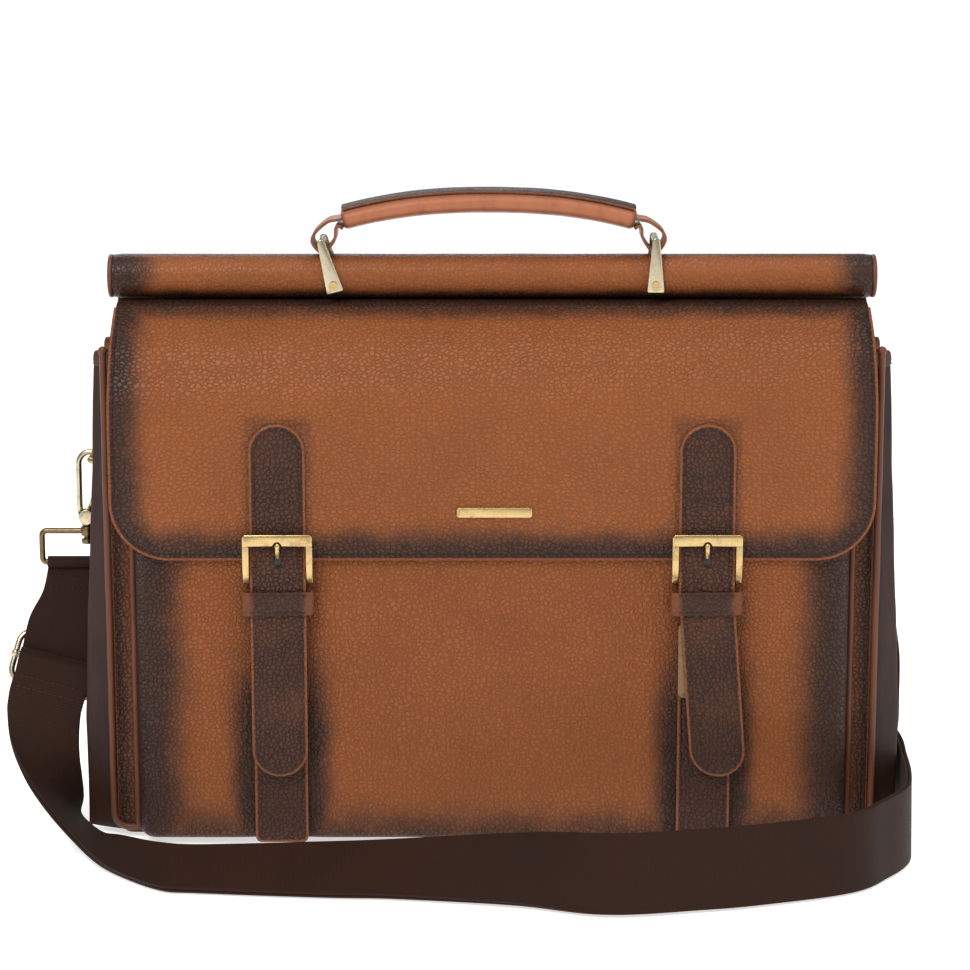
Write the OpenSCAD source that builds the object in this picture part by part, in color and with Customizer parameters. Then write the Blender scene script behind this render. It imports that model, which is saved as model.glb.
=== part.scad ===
// Leather briefcase with a rod-top flap, two buckled straps, a carrying handle and a
// webbing shoulder strap. +Z is up, the front faces -Y, and the origin is on the floor
// under the middle of the bag.

/* [Body] */
// Width of the front and back panels
panel_w = 379; // [320:1:460]
// Depth from the front of the pocket to the back panel
bag_d = 100; // [90:1:120]
// Height of the rod's centre above the floor
rod_z = 281; // [250:1:340]
// Thickness of a lined leather panel
panel_t = 2.8; // [2:0.1:3.4]
// How far the side gussets bulge past the panels at the floor
gusset_bulge = 15.9; // [12:0.1:19]
// How far the side gussets fold in between their two ridges
gusset_fold = 7.5; // [5:0.1:10]
// Half the width of the front pocket
pocket_half_w = 176.7; // [150:0.1:180]
// Radius of the piping round the panel edges
piping_r = 1.9; // [1.5:0.1:2.2]

/* [Rod] */
// Radius of the rod over its leather
rod_r = 11; // [9:0.5:12]
// Length of the rod with its end discs
rod_len = 385; // [330:1:470]
// Thickness of the leather round the rod
rod_cover_t = 2; // [1.5:0.1:2.4]

/* [Flap] */
// Width of the flap
flap_w = 375; // [310:1:380]
// Height of the flap's lower edge above the floor
flap_low_z = 148; // [130:1:180]
// Radius of the flap's lower corners
flap_corner = 29; // [15:1:40]
// Thickness of the flap's outer leather
flap_t = 1.8; // [1.4:0.1:2.2]
// Thickness of the flap's lining
lining_t = 1; // [0.8:0.1:1.2]

/* [Straps and buckles] */
// Distance from the middle of the bag to each strap
strap_x = 105; // [90:1:120]
// Width of the leather straps
strap_w = 27.4; // [22:0.2:32]
// Thickness of the leather straps
strap_t = 2.4; // [2:0.1:3]
// Height of the strap tails' tips above the floor
tail_z = 39; // [25:1:60]
// Sideways lean of the right strap's tail, in degrees
tail_lean = 4.5; // [0:0.5:5]
// Width of each side bar of a buckle
buckle_side = 2.6; // [2:0.2:3.4]
// Height of the buckle's top bar
buckle_bar = 6; // [5:0.2:7]
// Height of the leather keeper
keeper_h = 11.6; // [9:0.2:13]
// Height of the magnetic clasp plates
clasp_h = 38; // [30:1:40]

/* [Handle] */
// Length of the handle's grip
grip_l = 153; // [120:1:170]
// Depth of the grip from front to back
grip_d = 24; // [20:1:28]
// Height of the grip at its middle
grip_h = 9.6; // [8:0.2:12]
// Distance between the two pairs of handle screws
screw_gap = 160; // [125:1:180]
// Distance of the handle's middle to the right of the bag's middle
handle_x = 1.2; // [-4:0.1:4]
// Distance from a handle screw to the bracket's bar
leg_l = 22.2; // [21:0.1:24]
// Lean of the left bracket at rest, in degrees
left_lean = 15.5; // [8:0.5:18]
// Shank radius of the handle screws
screw_r = 1.5; // [1.2:0.1:1.8]

/* [Shoulder strap] */
// Width of the webbing
webbing_w = 38; // [32:1:40]
// Thickness of one layer of webbing
webbing_t = 1.6; // [1.2:0.1:2]
// Radius of the hardware's wire
wire_r = 1.5; // [1.2:0.1:1.7]
// How far the D-rings reach from their tabs
ring_reach = 15.5; // [15:0.1:17]
// Radius of the hook's swivel post
post_r = 1.75; // [1.5:0.05:2]

/* [Hidden] */

$fn = 48;
gap = 0.3;              // clearance between pieces that move past each other
run = 0.05;             // radial clearance of a pin in its hole
seam = 0.02;            // air between pieces that are sewn or glued face to face
front_y = -bag_d / 2;   // front of the pocket
panel_y = front_y + 18; // front face of the main front panel
back_y = bag_d / 2;
mouth_z = rod_z - 35;   // top edge of the front panel and the gussets
base_t = 3;
board_t = 2;
rod_y = 3;
panel_half = panel_w / 2;

// ---------- helpers ----------
function unit(v) = v / norm(v);
function arc(c, r, a0, a1, n = 8) =
    [for (i = [0:n]) c + r * [cos(a0 + (a1 - a0) * i / n), sin(a0 + (a1 - a0) * i / n)]];
function at(p, i) = p[max(0, min(len(p) - 1, i))];
function spline(a, b, c, d, t) = 0.5 * (2 * b + t * (c - a)
    + t * t * (2 * a - 5 * b + 4 * c - d) + t * t * t * (3 * b - a - 3 * c + d));
function smooth(p, n) = concat([for (i = [0:len(p) - 2], k = [0:n - 1])
    spline(at(p, i - 1), p[i], p[i + 1], at(p, i + 2), k / n)], [p[len(p) - 1]]);
function normal_at(p, i) = let (d = unit(at(p, i + 1) - at(p, i - 1))) [-d[1], d[0]];
function reversed(p) = [for (i = [len(p) - 1:-1:0]) p[i]];
// Outline of a sheet that follows the path p, from offset a to offset b on its left side
function band(p, a, b) = concat([for (i = [0:len(p) - 1]) p[i] + a * normal_at(p, i)],
    reversed([for (i = [0:len(p) - 1]) p[i] + b * normal_at(p, i)]));

// Extrudes an outline in (y, z) along X, centred
module along_x(w) translate([-w / 2, 0, 0]) rotate([90, 0, 90]) linear_extrude(w) children();
// Extrudes an outline in (x, z) along Y, from y0 to y1
module along_y(y0, y1)
    translate([0, y1, 0]) rotate([90, 0, 0]) linear_extrude(y1 - y0) children();
module pin_y(r, y0, y1) translate([0, y1, 0]) rotate([90, 0, 0]) cylinder(h = y1 - y0, r = r);
module pin_x(r, w) rotate([0, 90, 0]) cylinder(h = w, r = r, center = true);
module plate(w, h, r) {
    square([w, h - 2 * r], center = true);
    square([w - 2 * r, h], center = true);
    for (x = [-1, 1], y = [-1, 1]) translate([x * (w / 2 - r), y * (h / 2 - r)]) circle(r);
}
// Closed wire with rounded corners, in the XZ plane and centred
module wire_frame(w, h, corner, r) {
    for (s = [-1, 1]) {
        translate([s * w / 2, 0, corner - h / 2]) cylinder(h = h - 2 * corner, r = r);
        translate([corner - w / 2, 0, s * h / 2]) rotate([0, 90, 0])
            cylinder(h = w - 2 * corner, r = r);
    }
    for (q = [[1, 1, 0], [-1, 1, 90], [-1, -1, 180], [1, -1, 270]])
        translate([q[0] * (w / 2 - corner), 0, q[1] * (h / 2 - corner)])
            rotate([90, 0, 0]) rotate([0, 0, q[2]]) rotate_extrude(angle = 90)
                translate([corner, 0]) circle(r);
}
// Solid through a list of sections that all have the same number of points. The end caps
// are cut into strips, so a section may be a thin folded sheet.
module loft(s) {
    m = len(s[0]);
    n = m / 2;
    last = (len(s) - 1) * m;
    polyhedron(points = [for (q = s) each q], faces = concat(
        [for (k = [0:len(s) - 2], j = [0:m - 1])
            each j < n ? [[k * m + (j + 1) % m, k * m + j, (k + 1) * m + (j + 1) % m],
                [(k + 1) * m + (j + 1) % m, k * m + j, (k + 1) * m + j]]
            : [[k * m + (j + 1) % m, k * m + j, (k + 1) * m + j],
                [(k + 1) * m + (j + 1) % m, k * m + (j + 1) % m, (k + 1) * m + j]]],
        [for (i = [0:n - 2]) each [[m - 1 - i, i, i + 1], [m - 1 - i, i + 1, m - 2 - i]]],
        [for (i = [0:n - 2]) each [[last + i + 1, last + i, last + m - 1 - i],
            [last + m - 2 - i, last + i + 1, last + m - 1 - i]]]), convexity = 10);
}

// ---------- body ----------
leather = [0.59, 0.34, 0.19];
dark = [0.24, 0.17, 0.14];
gusset_c = [0.31, 0.22, 0.19];
brass = [0.80, 0.68, 0.42];
board = [0.45, 0.42, 0.38];
cloth = [0.55, 0.47, 0.38];
webbing_c = [0.24, 0.15, 0.12];

edge_half = panel_half - 1.5;             // where the gussets meet the panels
ridge_low = panel_half + gusset_bulge;    // gusset ridge at the floor
ridge_top = panel_half + gusset_bulge - 9; // and at the mouth
valley = panel_half - gusset_fold;
back_path = smooth([[back_y - 1.4, base_t], [back_y - 1, 24], [back_y - 1.5, rod_z * 0.43],
    [back_y - 4, rod_z - 91], [back_y - 9, rod_z - 59], [back_y - 19, rod_z - 31],
    [rod_y + 19, rod_z - 16], [rod_y + 0.65 * (rod_r + 1.9),
    rod_z - 0.76 * (rod_r + 1.9)]], 4);

module base_panel() color(dark)
    translate([0, (panel_y + back_y - panel_t) / 2, 0]) linear_extrude(base_t - seam)
        plate(panel_w - 4, back_y - panel_y - panel_t - 1, 6);
module base_board() color(board)
    translate([0, (panel_y + back_y) / 2, base_t + gap]) linear_extrude(board_t)
        plate(panel_w - 22, back_y - panel_y - 2 * panel_t - 2, 4);
module front_panel() color(leather) along_y(panel_y, panel_y + panel_t - seam)
    translate([0, (mouth_z + base_t) / 2]) plate(panel_w, mouth_z - base_t, 4);
module back_panel() color(leather) intersection() {
    along_x(panel_w) polygon(band(back_path, -panel_t / 2, panel_t / 2));
    along_y(rod_y, back_y + 5) polygon([[-panel_half, 0], [panel_half, 0],
        [panel_half, mouth_z], [rod_len / 2 - 3, rod_z], [3 - rod_len / 2, rod_z],
        [-panel_half, mouth_z]]);
}

fold_y = (panel_y + back_y) / 2 - 1;      // middle of the gusset's fold
// How far back the back panel's inner face is at a height
function inner_back(z) = lookup(z, [for (p = back_path) [p[1], p[0]]]) - panel_t / 2 - 0.6;
function gusset_plan(ridge, back) = [[edge_half, panel_y + panel_t + 1.2], [ridge, fold_y - 30],
    [valley + 6, fold_y - 22], [valley, fold_y - 10], [valley, min(fold_y + 10, back - 24)],
    [valley + 6, min(fold_y + 22, back - 14)], [ridge, min(fold_y + 30, back - 6)],
    [edge_half, back - 1.2]];
function gusset_section(ridge, z) =
    [for (p = band(gusset_plan(ridge, inner_back(z)), -1.2, 1.2)) [p[0], p[1], z]];
module gusset() color(gusset_c) loft([for (z = [base_t, 70, 130, rod_z - 91, rod_z - 66,
    rod_z - 52, mouth_z]) gusset_section(ridge_low - 9 * max(0, z - 70) / (mouth_z - 70), z)]);
module gusset_right() gusset();
module gusset_left() mirror([1, 0, 0]) gusset();

// Piping: one strip down a side, under the panel and up the other side
module piping(y, top) color(dark) {
    x = panel_half + piping_r;
    low = base_t + piping_r;
    corner = 8;
    for (s = [-1, 1]) translate([s * x, y, low + corner]) {
        cylinder(h = top - low - corner, r = piping_r);
        translate([0, 0, top - low - corner]) sphere(piping_r + 0.6);
        translate([-s * corner, 0, 0]) rotate([90, 0, 0]) rotate([0, 0, s > 0 ? 270 : 180])
            rotate_extrude(angle = 90) translate([corner, 0]) circle(piping_r);
    }
}
module piping_front() difference() {
    piping(panel_y - piping_r / 2, mouth_z + 2);
    along_y(panel_y, panel_y + 9) translate([0, mouth_z / 2]) square([panel_w, mouth_z * 2],
        center = true);
}
module piping_back() difference() {
    union() {
        piping(back_y - 1, mouth_z - 22);
        translate([0, back_y - 1, base_t + piping_r]) color(dark)
            pin_x(piping_r, 2 * (panel_half + piping_r - 8));
    }
    translate([-panel_half - seam, panel_y, 0]) cube([panel_w + 2 * seam, bag_d * 2, rod_z]);
}

// ---------- front pocket ----------
pocket_top = rod_z - 57;
// Plan outline of the pocket: a front with two sides, its depth set by the front's y
function pocket_path(y, half) = concat([[-half, panel_y - seam]],
    arc([9 - half, y + 9], 9, 180, 270), arc([half - 9, y + 9], 9, 270, 360),
    [[half, panel_y - seam]]);
function pocket_section(y, half, z) =
    [for (p = band(pocket_path(y, half), 0, 2)) [p[0], p[1], z]];
module front_pocket() color(leather) {
    loft([pocket_section(front_y + 1.5, pocket_half_w, base_t + 2.2),
        pocket_section(front_y, pocket_half_w + 0.5, 40),
        pocket_section(front_y, pocket_half_w, rod_z * 0.62),
        pocket_section(front_y + 4, pocket_half_w - 1, pocket_top)]);
    translate([-pocket_half_w + 4, front_y + 2.5, base_t])
        cube([2 * pocket_half_w - 8, panel_y - front_y - 2.5 - seam, 2.2 + seam]);
}
module pocket_piping() color(dark) for (s = [-1, 1])
    translate([s * (pocket_half_w + piping_r + 1), panel_y - piping_r - seam, base_t + 1])
        cylinder(h = pocket_top - base_t - 4, r = piping_r * 0.9);
module pocket_binding() color(dark) translate([0, 0, pocket_top + seam]) linear_extrude(4)
    difference() {
        polygon(band(pocket_path(front_y + 4, pocket_half_w - 1.2), -0.4, 2.4));
        translate([-pocket_half_w * 2, panel_y - 0.5]) square([pocket_half_w * 4, 9]);
    }

// ---------- inside ----------
divider_y = fold_y;
module centre_divider() color(cloth)
    along_y(divider_y - 1.4, divider_y + 1.4)
        translate([0, (rod_z - 56 + base_t + board_t + 1) / 2])
            plate(2 * (valley - 3), rod_z - 56 - base_t - board_t - 1, 6);
module organiser_pocket() color(cloth)
    along_y(back_y - panel_t - 4.4, back_y - panel_t - 2.6) translate([0, rod_z * 0.27])
        plate(panel_w * 0.66, rod_z * 0.44, 6);

// ---------- rod ----------
screw_z = rod_z - 3.6;
crease = [rod_y - rod_r - 4.3, rod_z - rod_r - 4]; // (y, z) of the flap's fold, in front of the legs
module screw_holes(r)
    for (s = [-1, 1]) translate([handle_x + s * screw_gap / 2, rod_y, screw_z])
        pin_y(r, -rod_r * 2, rod_r * 2);
module top_rod() color(board) difference() {
    translate([0, rod_y, rod_z]) pin_x(rod_r - rod_cover_t - seam, rod_len - 2 * rod_cover_t - 1);
    screw_holes(screw_r + run);
}
module rod_cover() color(leather) difference() {
    union() {
        translate([0, rod_y, rod_z]) pin_x(rod_r, rod_len - 2 * rod_cover_t);
        // the tongue that carries on from the rod to the flap's fold
        along_x(flap_w - 1) polygon([[rod_y - 6 * rod_r / 11, rod_z - 8 * rod_r / 11],
            [crease[0] + 1.2, crease[1] + 4.2], [crease[0] + 2.1, crease[1] + 0.5],
            [rod_y - 2, rod_z - rod_r + 0.8]]);
    }
    translate([0, rod_y, rod_z]) pin_x(rod_r - rod_cover_t, rod_len + 2);
    screw_holes(screw_r + run);
}
module rod_caps() color(dark) for (s = [-1, 1])
    translate([s * (rod_len / 2 - rod_cover_t + seam), rod_y, rod_z]) rotate([0, s * 90, 0])
        rotate_extrude() polygon(concat([[0, 0], [rod_r - 0.3, 0], [rod_r - 0.3, 0.5]],
            arc([rod_r - 1.8, 0.5], 1.5, 0, 90, 4), [[0, rod_cover_t]]));

// ---------- flap ----------
flap_path = smooth([crease, crease + [-11, -6], crease + [-23, -14.5],
    [front_y + 8, crease[1] - 23.5], [front_y + 0.7, crease[1] - 35],
    [front_y - 2.4, crease[1] - 50], [front_y - 2.6, crease[1] - 75],
    [front_y - 2.6, flap_low_z]], 4);
flap_face = front_y - 2.6 - flap_t;       // front of the flap where it hangs flat
module flap_outline(inset = 0) {
    half = flap_w / 2 - inset;
    low = flap_low_z + inset;
    polygon(concat([[-half, rod_z]], arc([flap_corner - half + inset / 2, low + flap_corner],
        flap_corner, 180, 270), arc([half - flap_corner - inset / 2, low + flap_corner],
        flap_corner, 270, 360), [[half, rod_z]]));
}
module flap_sheet(a, b, inset) intersection() {
    along_x(flap_w) polygon(band(flap_path, a, b));
    along_y(front_y - 20, rod_y) flap_outline(inset);
}
module flap() color(leather) flap_sheet(-flap_t, 0, 0);
module flap_lining() color(cloth) flap_sheet(seam, lining_t, 1);
module badge_plate() color(brass)
    along_y(flap_face - 1.2, flap_face - seam) translate([1, 172.3 * rod_z / 281])
        plate(37, 5, 1.5);

// ---------- straps ----------
strap_face = flap_face - seam;            // back of the strap where it lies on the flap
tail_back = front_y - 6.4;                // back of the strap below the flap
strap_top_z = rod_z - 64.8;
bar_z = flap_low_z - 4;                   // height of the buckle's bar
bar_y = front_y - 3.4;
slot_low = bar_z - 2.4;
slot_high = flap_low_z + 4.4;
tail_path = smooth([[strap_face - 0.2, strap_top_z], [strap_face - 0.2, bar_z + 42],
    [strap_face - 0.2, bar_z + 28],
    [strap_face - 0.3, bar_z + 16], [tail_back - 0.2, bar_z + 5], [tail_back, bar_z - 8],
    [tail_back, bar_z - 40], [tail_back, tail_z]], 4);
// Face outline of the strap: a round top, and below the keeper a tail that may lean
function tail_shift(z, lean) = tan(lean) * max(0, bar_z - 12 - z);
module strap_outline(lean) {
    r = strap_w / 2;
    polygon(concat(arc([0, strap_top_z - r], r, 0, 180, 16),
        [[-r, bar_z - 12]],
        [for (p = arc([0, 0], r, 180, 360, 16))
            [p[0] + tail_shift(tail_z + r, lean), tail_z + r + p[1]]],
        [[r, bar_z - 12]]));
}
module flap_strap(side, lean) color(dark) translate([side * strap_x, 0, 0]) difference() {
    intersection() {
        along_x(strap_w * 2.4) polygon(band(tail_path, -strap_t, -seam));
        along_y(front_y - 20, rod_y) strap_outline(lean);
    }
    along_y(front_y - 20, front_y) translate([0, (slot_low + slot_high) / 2])
        plate(4.4, slot_high - slot_low, 2);
}
module flap_strap_left() flap_strap(-1, 0);
module flap_strap_right() flap_strap(1, tail_lean);

// ---------- buckles ----------
buckle_w = strap_w + 2 * buckle_side + 1.8;
buckle_top = bar_z - 4 + 22.4;            // top of the frame
strap_front = tail_back - strap_t;        // front of the strap below the flap
buckle_face = strap_front - 2.8;          // front of the buckle frame
prong_w = 3;
module buckle(side) color(brass) translate([side * strap_x, 0, 0]) difference() {
    union() {
        along_x(buckle_w) polygon([[buckle_face, buckle_top - buckle_bar],
            [buckle_face, buckle_top - 0.8], [buckle_face + 0.8, buckle_top],
            [strap_front - 0.4, buckle_top], [strap_front - 0.4, buckle_top - buckle_bar]]);
        for (s = [-1, 1]) translate([s * (buckle_w - buckle_side) / 2, 0, 0])
            along_x(buckle_side)
            polygon(concat([[strap_front - 0.4, buckle_top], [buckle_face + 0.8, buckle_top],
                [buckle_face, buckle_top - 0.8], [buckle_face, bar_z + 6]],
                arc([bar_y - 1, bar_z + 6], bar_y - 1 - buckle_face, 180, 250),
                [[bar_y + 2.2, bar_z - 7], [bar_y + 2.4, bar_z + 2],
                [strap_front + 1.2, bar_z + 5.5]]));
        translate([0, bar_y, bar_z]) pin_x(1.3, buckle_w - 1);
    }
    // seat for the tip of the prong
    translate([0, buckle_face + 1, buckle_top - buckle_bar]) rotate([90, 0, 0])
        cylinder(h = 8, r = 2.2, center = true);
}
module buckle_left() buckle(-1);
module buckle_right() buckle(1);

module prong(side) color(brass) translate([side * strap_x, bar_y, bar_z]) difference() {
    union() {
        pin_x(2.3, prong_w);
        along_x(prong_w) polygon([[-1.6, 1.6], [1.2, 1.6], [strap_front - bar_y - 0.2, 7.4],
            [buckle_face - bar_y + 1.4, 13.4], [buckle_face - bar_y - 0.3, 13.2],
            [buckle_face - bar_y, 9.8], [strap_front - bar_y - 2, 5]]);
    }
    pin_x(1.3 + run, prong_w + 1);
}
module prong_left() prong(-1);
module prong_right() prong(1);

keeper_z = bar_z - 16.4;
module keeper(side) color(dark)
    translate([side * strap_x, 0, keeper_z - keeper_h / 2]) linear_extrude(keeper_h)
        difference() {
            translate([0, tail_back - strap_t / 2]) plate(strap_w + 7.4, strap_t + 4.2, 2.6);
            translate([0, tail_back - strap_t / 2]) plate(strap_w + 3, strap_t + 0.5, 0.6);
        }
module keeper_left() keeper(-1);
module keeper_right() keeper(1);

// ---------- closing clasps ----------
clasp_z = tail_z + 59;
clasp_w = strap_w - 0.6;
lower_strap_t = strap_t;
socket_face = front_y - seam - lower_strap_t; // front of the lower strap
module lower_strap(side) color(dark) translate([side * strap_x, 0, 0])
    along_y(socket_face, front_y - seam)
        translate([0, (118.5 * rod_z / 281 + base_t) / 2])
            plate(strap_w - 1, 118.5 * rod_z / 281 - base_t, 3);
module lower_strap_left() lower_strap(-1);
module lower_strap_right() lower_strap(1);
plate_t = (socket_face - tail_back - 0.3 - 2 * seam) / 2;
module clasp_socket(side) color(brass) translate([side * strap_x, 0, clasp_z]) difference() {
    along_y(socket_face - seam - plate_t, socket_face - seam) plate(clasp_w, clasp_h, 3);
    pin_y(8.4, socket_face - seam - plate_t - 1, socket_face - seam - plate_t + 0.8);
}
module clasp_socket_left() clasp_socket(-1);
module clasp_socket_right() clasp_socket(1);
module clasp_stud(side) color(brass) translate([side * strap_x, 0, clasp_z]) {
    along_y(tail_back + seam, tail_back + seam + plate_t) plate(clasp_w, clasp_h, 3);
    pin_y(8, tail_back + seam, tail_back + seam + plate_t + 0.7);
}
module clasp_stud_left() clasp_stud(-1);
module clasp_stud_right() clasp_stud(1);

// ---------- handle ----------
leg_t = 2;
leg_y = rod_r + gap;                      // inner face of a bracket leg from the rod's centre
bracket_bar_r = 1.6;
module bracket(x, tilt) color(brass) translate([x, rod_y, screw_z]) rotate([0, tilt, 0]) {
    for (s = [-1, 1]) difference() {
        translate([0, s * (leg_y + leg_t / 2), 0]) along_y(-leg_t / 2, leg_t / 2)
            polygon(concat(arc([2.6, -2], 1.6, 270, 360, 4), arc([0.4, leg_l], 1.5, 0, 90, 4),
                arc([-0.4, leg_l], 1.5, 90, 180, 4), arc([-2.6, -2], 1.6, 180, 270, 4)));
        pin_y(screw_r + run, -rod_r * 2, rod_r * 2);
    }
    translate([0, 0, leg_l]) pin_y(bracket_bar_r, -leg_y - 0.5, leg_y + 0.5);
}
module bracket_left() bracket(handle_x - screw_gap / 2, -left_lean);
module bracket_right() bracket(handle_x + screw_gap / 2, 0);
module handle_screws() color(brass) for (x = [-1, 1], s = [-1, 1])
    translate([handle_x + x * screw_gap / 2, rod_y, screw_z]) rotate([0, 0, s > 0 ? 180 : 0]) {
        pin_y(screw_r, -leg_y - leg_t - gap - 0.9, -leg_y + 5);
        difference() {
            pin_y(2.4, -leg_y - leg_t - gap - 1.1, -leg_y - leg_t - gap);
            translate([0, -leg_y - leg_t - 1.6, 0]) cube([4, 0.8, 0.6], center = true);
        }
    }

bar_left = [handle_x - screw_gap / 2 - leg_l * sin(left_lean), screw_z + leg_l * cos(left_lean)];
bar_right = [handle_x + screw_gap / 2, screw_z + leg_l];
grip_mid = (bar_left[0] + bar_right[0]) / 2;
grip_end_z = rod_z + 27.2;                // middle of the grip's height at its ends
grip_rise = 10;
grip_half = grip_l / 2;
function grip_z(u) = grip_end_z + grip_rise * (1 - pow(abs(u), 2.3));
// One cross-section of the grip: flat underneath and rounded on top
function grip_section(u, low, high, depth) = let (h = high - low)
    [for (p = concat([[-depth / 2 + 2, low], [-depth / 2, low + 2]],
        [for (a = [0:30:180]) [-cos(a) * depth / 2, high - 3 + 3 * sin(a)]],
        [[depth / 2, low + 2], [depth / 2 - 2, low]], [[depth / 4, low - 0.6],
        [0, low - 0.9], [-depth / 4, low - 0.6]]))
        let (slope = -grip_rise * 2.3 * pow(abs(u), 1.3) * sign(u) / grip_half,
            c = 1 / sqrt(1 + slope * slope))
        [grip_mid + u * grip_half - p[1] * slope * c, rod_y + p[0], grip_z(u) + p[1] * c]];
module grip_solid(low, high, depth, reach) loft([for (i = [-12:12])
    grip_section(i / 12 * reach, low, high, depth)]);
grip_reach = 0.947;                       // share of the half length that the grip fills
module handle_grip() color(leather) grip_solid(-grip_h / 2, grip_h / 2, grip_d, grip_reach);
module handle_top_strip() color(dark) loft([for (i = [-12:12])
    let (u = i / 12 * (grip_reach - 0.01), slope = -grip_rise * 2.3 * pow(abs(u), 1.3) * sign(u) / grip_half,
        c = 1 / sqrt(1 + slope * slope))
    [for (p = [[-8, 0.3], [8, 0.3], [7, 2.2], [-7, 2.2]])
        let (h = grip_h / 2 + p[1] + seam) [grip_mid + u * grip_half - h * slope * c,
            rod_y + p[0], grip_z(u) + h * c]]]);

// Where the grip's end face is at a height h over grip_end_z
function grip_face(side, h) = let (u = grip_reach) grip_mid + side * (u * grip_half + 0.1
    + (h - grip_rise * (1 - pow(u, 2.3))) * grip_rise * 2.3 * pow(u, 1.3) / grip_half);

// Leather loop that hangs on a bracket's bar: a closed band in the XZ plane
loop_t = 1.8;
loop_w = 2 * leg_y - 4;
loop_low = rod_z + rod_r + 1.1;
module handle_loop(side) color(leather) {
    end = grip_mid + side * (grip_half - 1.5);
    bar = side < 0 ? bar_left : bar_right;
    out = bar[0] + side * 5.4;
    outer = smooth([[end, grip_end_z + 2.6], [end + side * 5, grip_end_z + 1.4],
        [out - side * 1.5, bar[1] + 5.2], [out, bar[1] - 0.5],
        [bar[0] + side * 1.4, loop_low], [bar[0] - side * 2.6, loop_low + 0.4],
        [end + side * 0.5, bar[1] + 1], [end, grip_end_z - 2.6]], 4);
    along_y(rod_y - loop_w / 2, rod_y + loop_w / 2)
        polygon(side < 0 ? band(outer, 0, loop_t) : band(outer, 0, -loop_t));
    along_y(rod_y - loop_w / 2, rod_y + loop_w / 2) polygon([[end, grip_end_z - 3.4],
        [end, grip_end_z + 3.4], for (h = [3.4, -3.4]) [grip_face(side, h), grip_end_z + h]]);
}
module handle_loop_left() handle_loop(-1);
module handle_loop_right() handle_loop(1);

// ---------- D-rings, hooks and strap rings ----------
ring_y = fold_y;
tab_x = valley + 6;                       // middle of a D-ring's straight bar
tab_z = rod_z * 2 / 3;
right_droop = 60;
ring_w = 20;
ring_corner = 4;
tab_half = ring_w / 2 - ring_corner - gap; // half the width of the tab's leather
module d_ring_tab(side) color(dark) translate([side * tab_x, ring_y, tab_z]) difference() {
    union() {
        pin_y(wire_r + 2, -tab_half, tab_half);
        translate([side > 0 ? -4.5 : 2.3, -tab_half, 0]) cube([2.2, 2 * tab_half, 25]);
    }
    pin_y(wire_r + run, -7, 7);
}
module d_ring_tab_left() d_ring_tab(-1);
module d_ring_tab_right() d_ring_tab(1);
module d_ring(side, droop) color(brass) translate([side * tab_x, ring_y, tab_z])
    rotate([0, side * droop, 0]) translate([side * ring_reach / 2, 0, 0])
        multmatrix([[0, 0, 1, 0], [1, 0, 0, 0], [0, 1, 0, 0]])
            wire_frame(ring_w, ring_reach, ring_corner, wire_r);
module d_ring_left() d_ring(-1, 0);
module d_ring_right() d_ring(1, right_droop);

// The hook is drawn round its gate pin, for the left side of the bag
hook_top = 30.4;                          // from the gate pin up to the D-ring's wire
hook_off = 3;                             // from the gate pin in to the D-ring's wire
hook_r = 6.25;
pin_r = 1;
wire_left = [-tab_x - ring_reach, tab_z];
wire_right = [tab_x + ring_reach * cos(right_droop), tab_z - ring_reach * sin(right_droop)];
hook_left_at = [wire_left[0] - hook_off, ring_y, wire_left[1] - hook_top];
hook_right_at = [wire_right[0] + hook_off, ring_y, wire_right[1] - hook_top];
neck_low = -14;
boss_z = -7.5;                            // middle of the strap ring's boss
module hook_body() {
    mid = hook_off - 0.25;
    spring_z = hook_top + wire_r + 0.2 + wire_r - hook_r;
    difference() {
        pin_y(4, -3.2, 3.2);
        translate([-2.4, -1.7, -2.8]) cube([8, 3.4, 8]);
        pin_y(pin_r + run, -5, 5);
    }
    translate([mid - hook_r, 0, 2.6]) cylinder(h = spring_z - 2.6, r = wire_r);
    translate([mid, 0, spring_z]) rotate([90, 0, 0]) rotate_extrude(angle = 180)
        translate([hook_r, 0]) circle(wire_r);
    translate([mid + hook_r, 0, spring_z - 3]) cylinder(h = 3, r = wire_r);
    translate([0, 0, neck_low]) cylinder(h = -neck_low - 3.4, r = post_r);
    translate([0, 0, neck_low]) cylinder(h = 2.6, r = 3);
}
module hook_gate() {
    tip = [hook_off - 0.25 + hook_r, hook_top + 2 * wire_r + 0.2 - hook_r - 3 - 0.5];
    lean = atan(tip[0] / tip[1]);
    difference() {
        union() {
            pin_y(2.1, -1.5, 1.5);
            rotate([0, lean, 0]) translate([0, 0, 1.5])
                cylinder(h = norm(tip) - 2, r = 1.3);
        }
        pin_y(pin_r + run, -3, 3);
    }
}
module gate_pin() pin_y(pin_r, -3.4, 3.4);
module hook_left() color(brass) translate(hook_left_at) hook_body();
module hook_right() color(brass) translate(hook_right_at) mirror([1, 0, 0]) hook_body();
module hook_gate_left() color(brass) translate(hook_left_at) hook_gate();
module hook_gate_right() color(brass) translate(hook_right_at) mirror([1, 0, 0]) hook_gate();
module gate_pin_left() color(brass) translate(hook_left_at) gate_pin();
module gate_pin_right() color(brass) translate(hook_right_at) gate_pin();

strap_ring_w = webbing_w + 2.4 + 2 * wire_r;
strap_ring_h = 16.4;
module strap_ring(turn, off) difference() {
    union() {
        rotate([0, 0, turn]) translate([off, 0, boss_z - strap_ring_h / 2])
            wire_frame(strap_ring_w, strap_ring_h, 2.5, wire_r);
        translate([0, 0, boss_z - 2.4]) cylinder(h = 4.8, r = 3.2);
    }
    translate([0, 0, boss_z - 4]) cylinder(h = 8, r = post_r + run);
}
module strap_ring_left() color(brass) translate(hook_left_at) strap_ring(0, -1.5);
module strap_ring_right() color(brass) translate(hook_right_at) strap_ring(90, 0);

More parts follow.
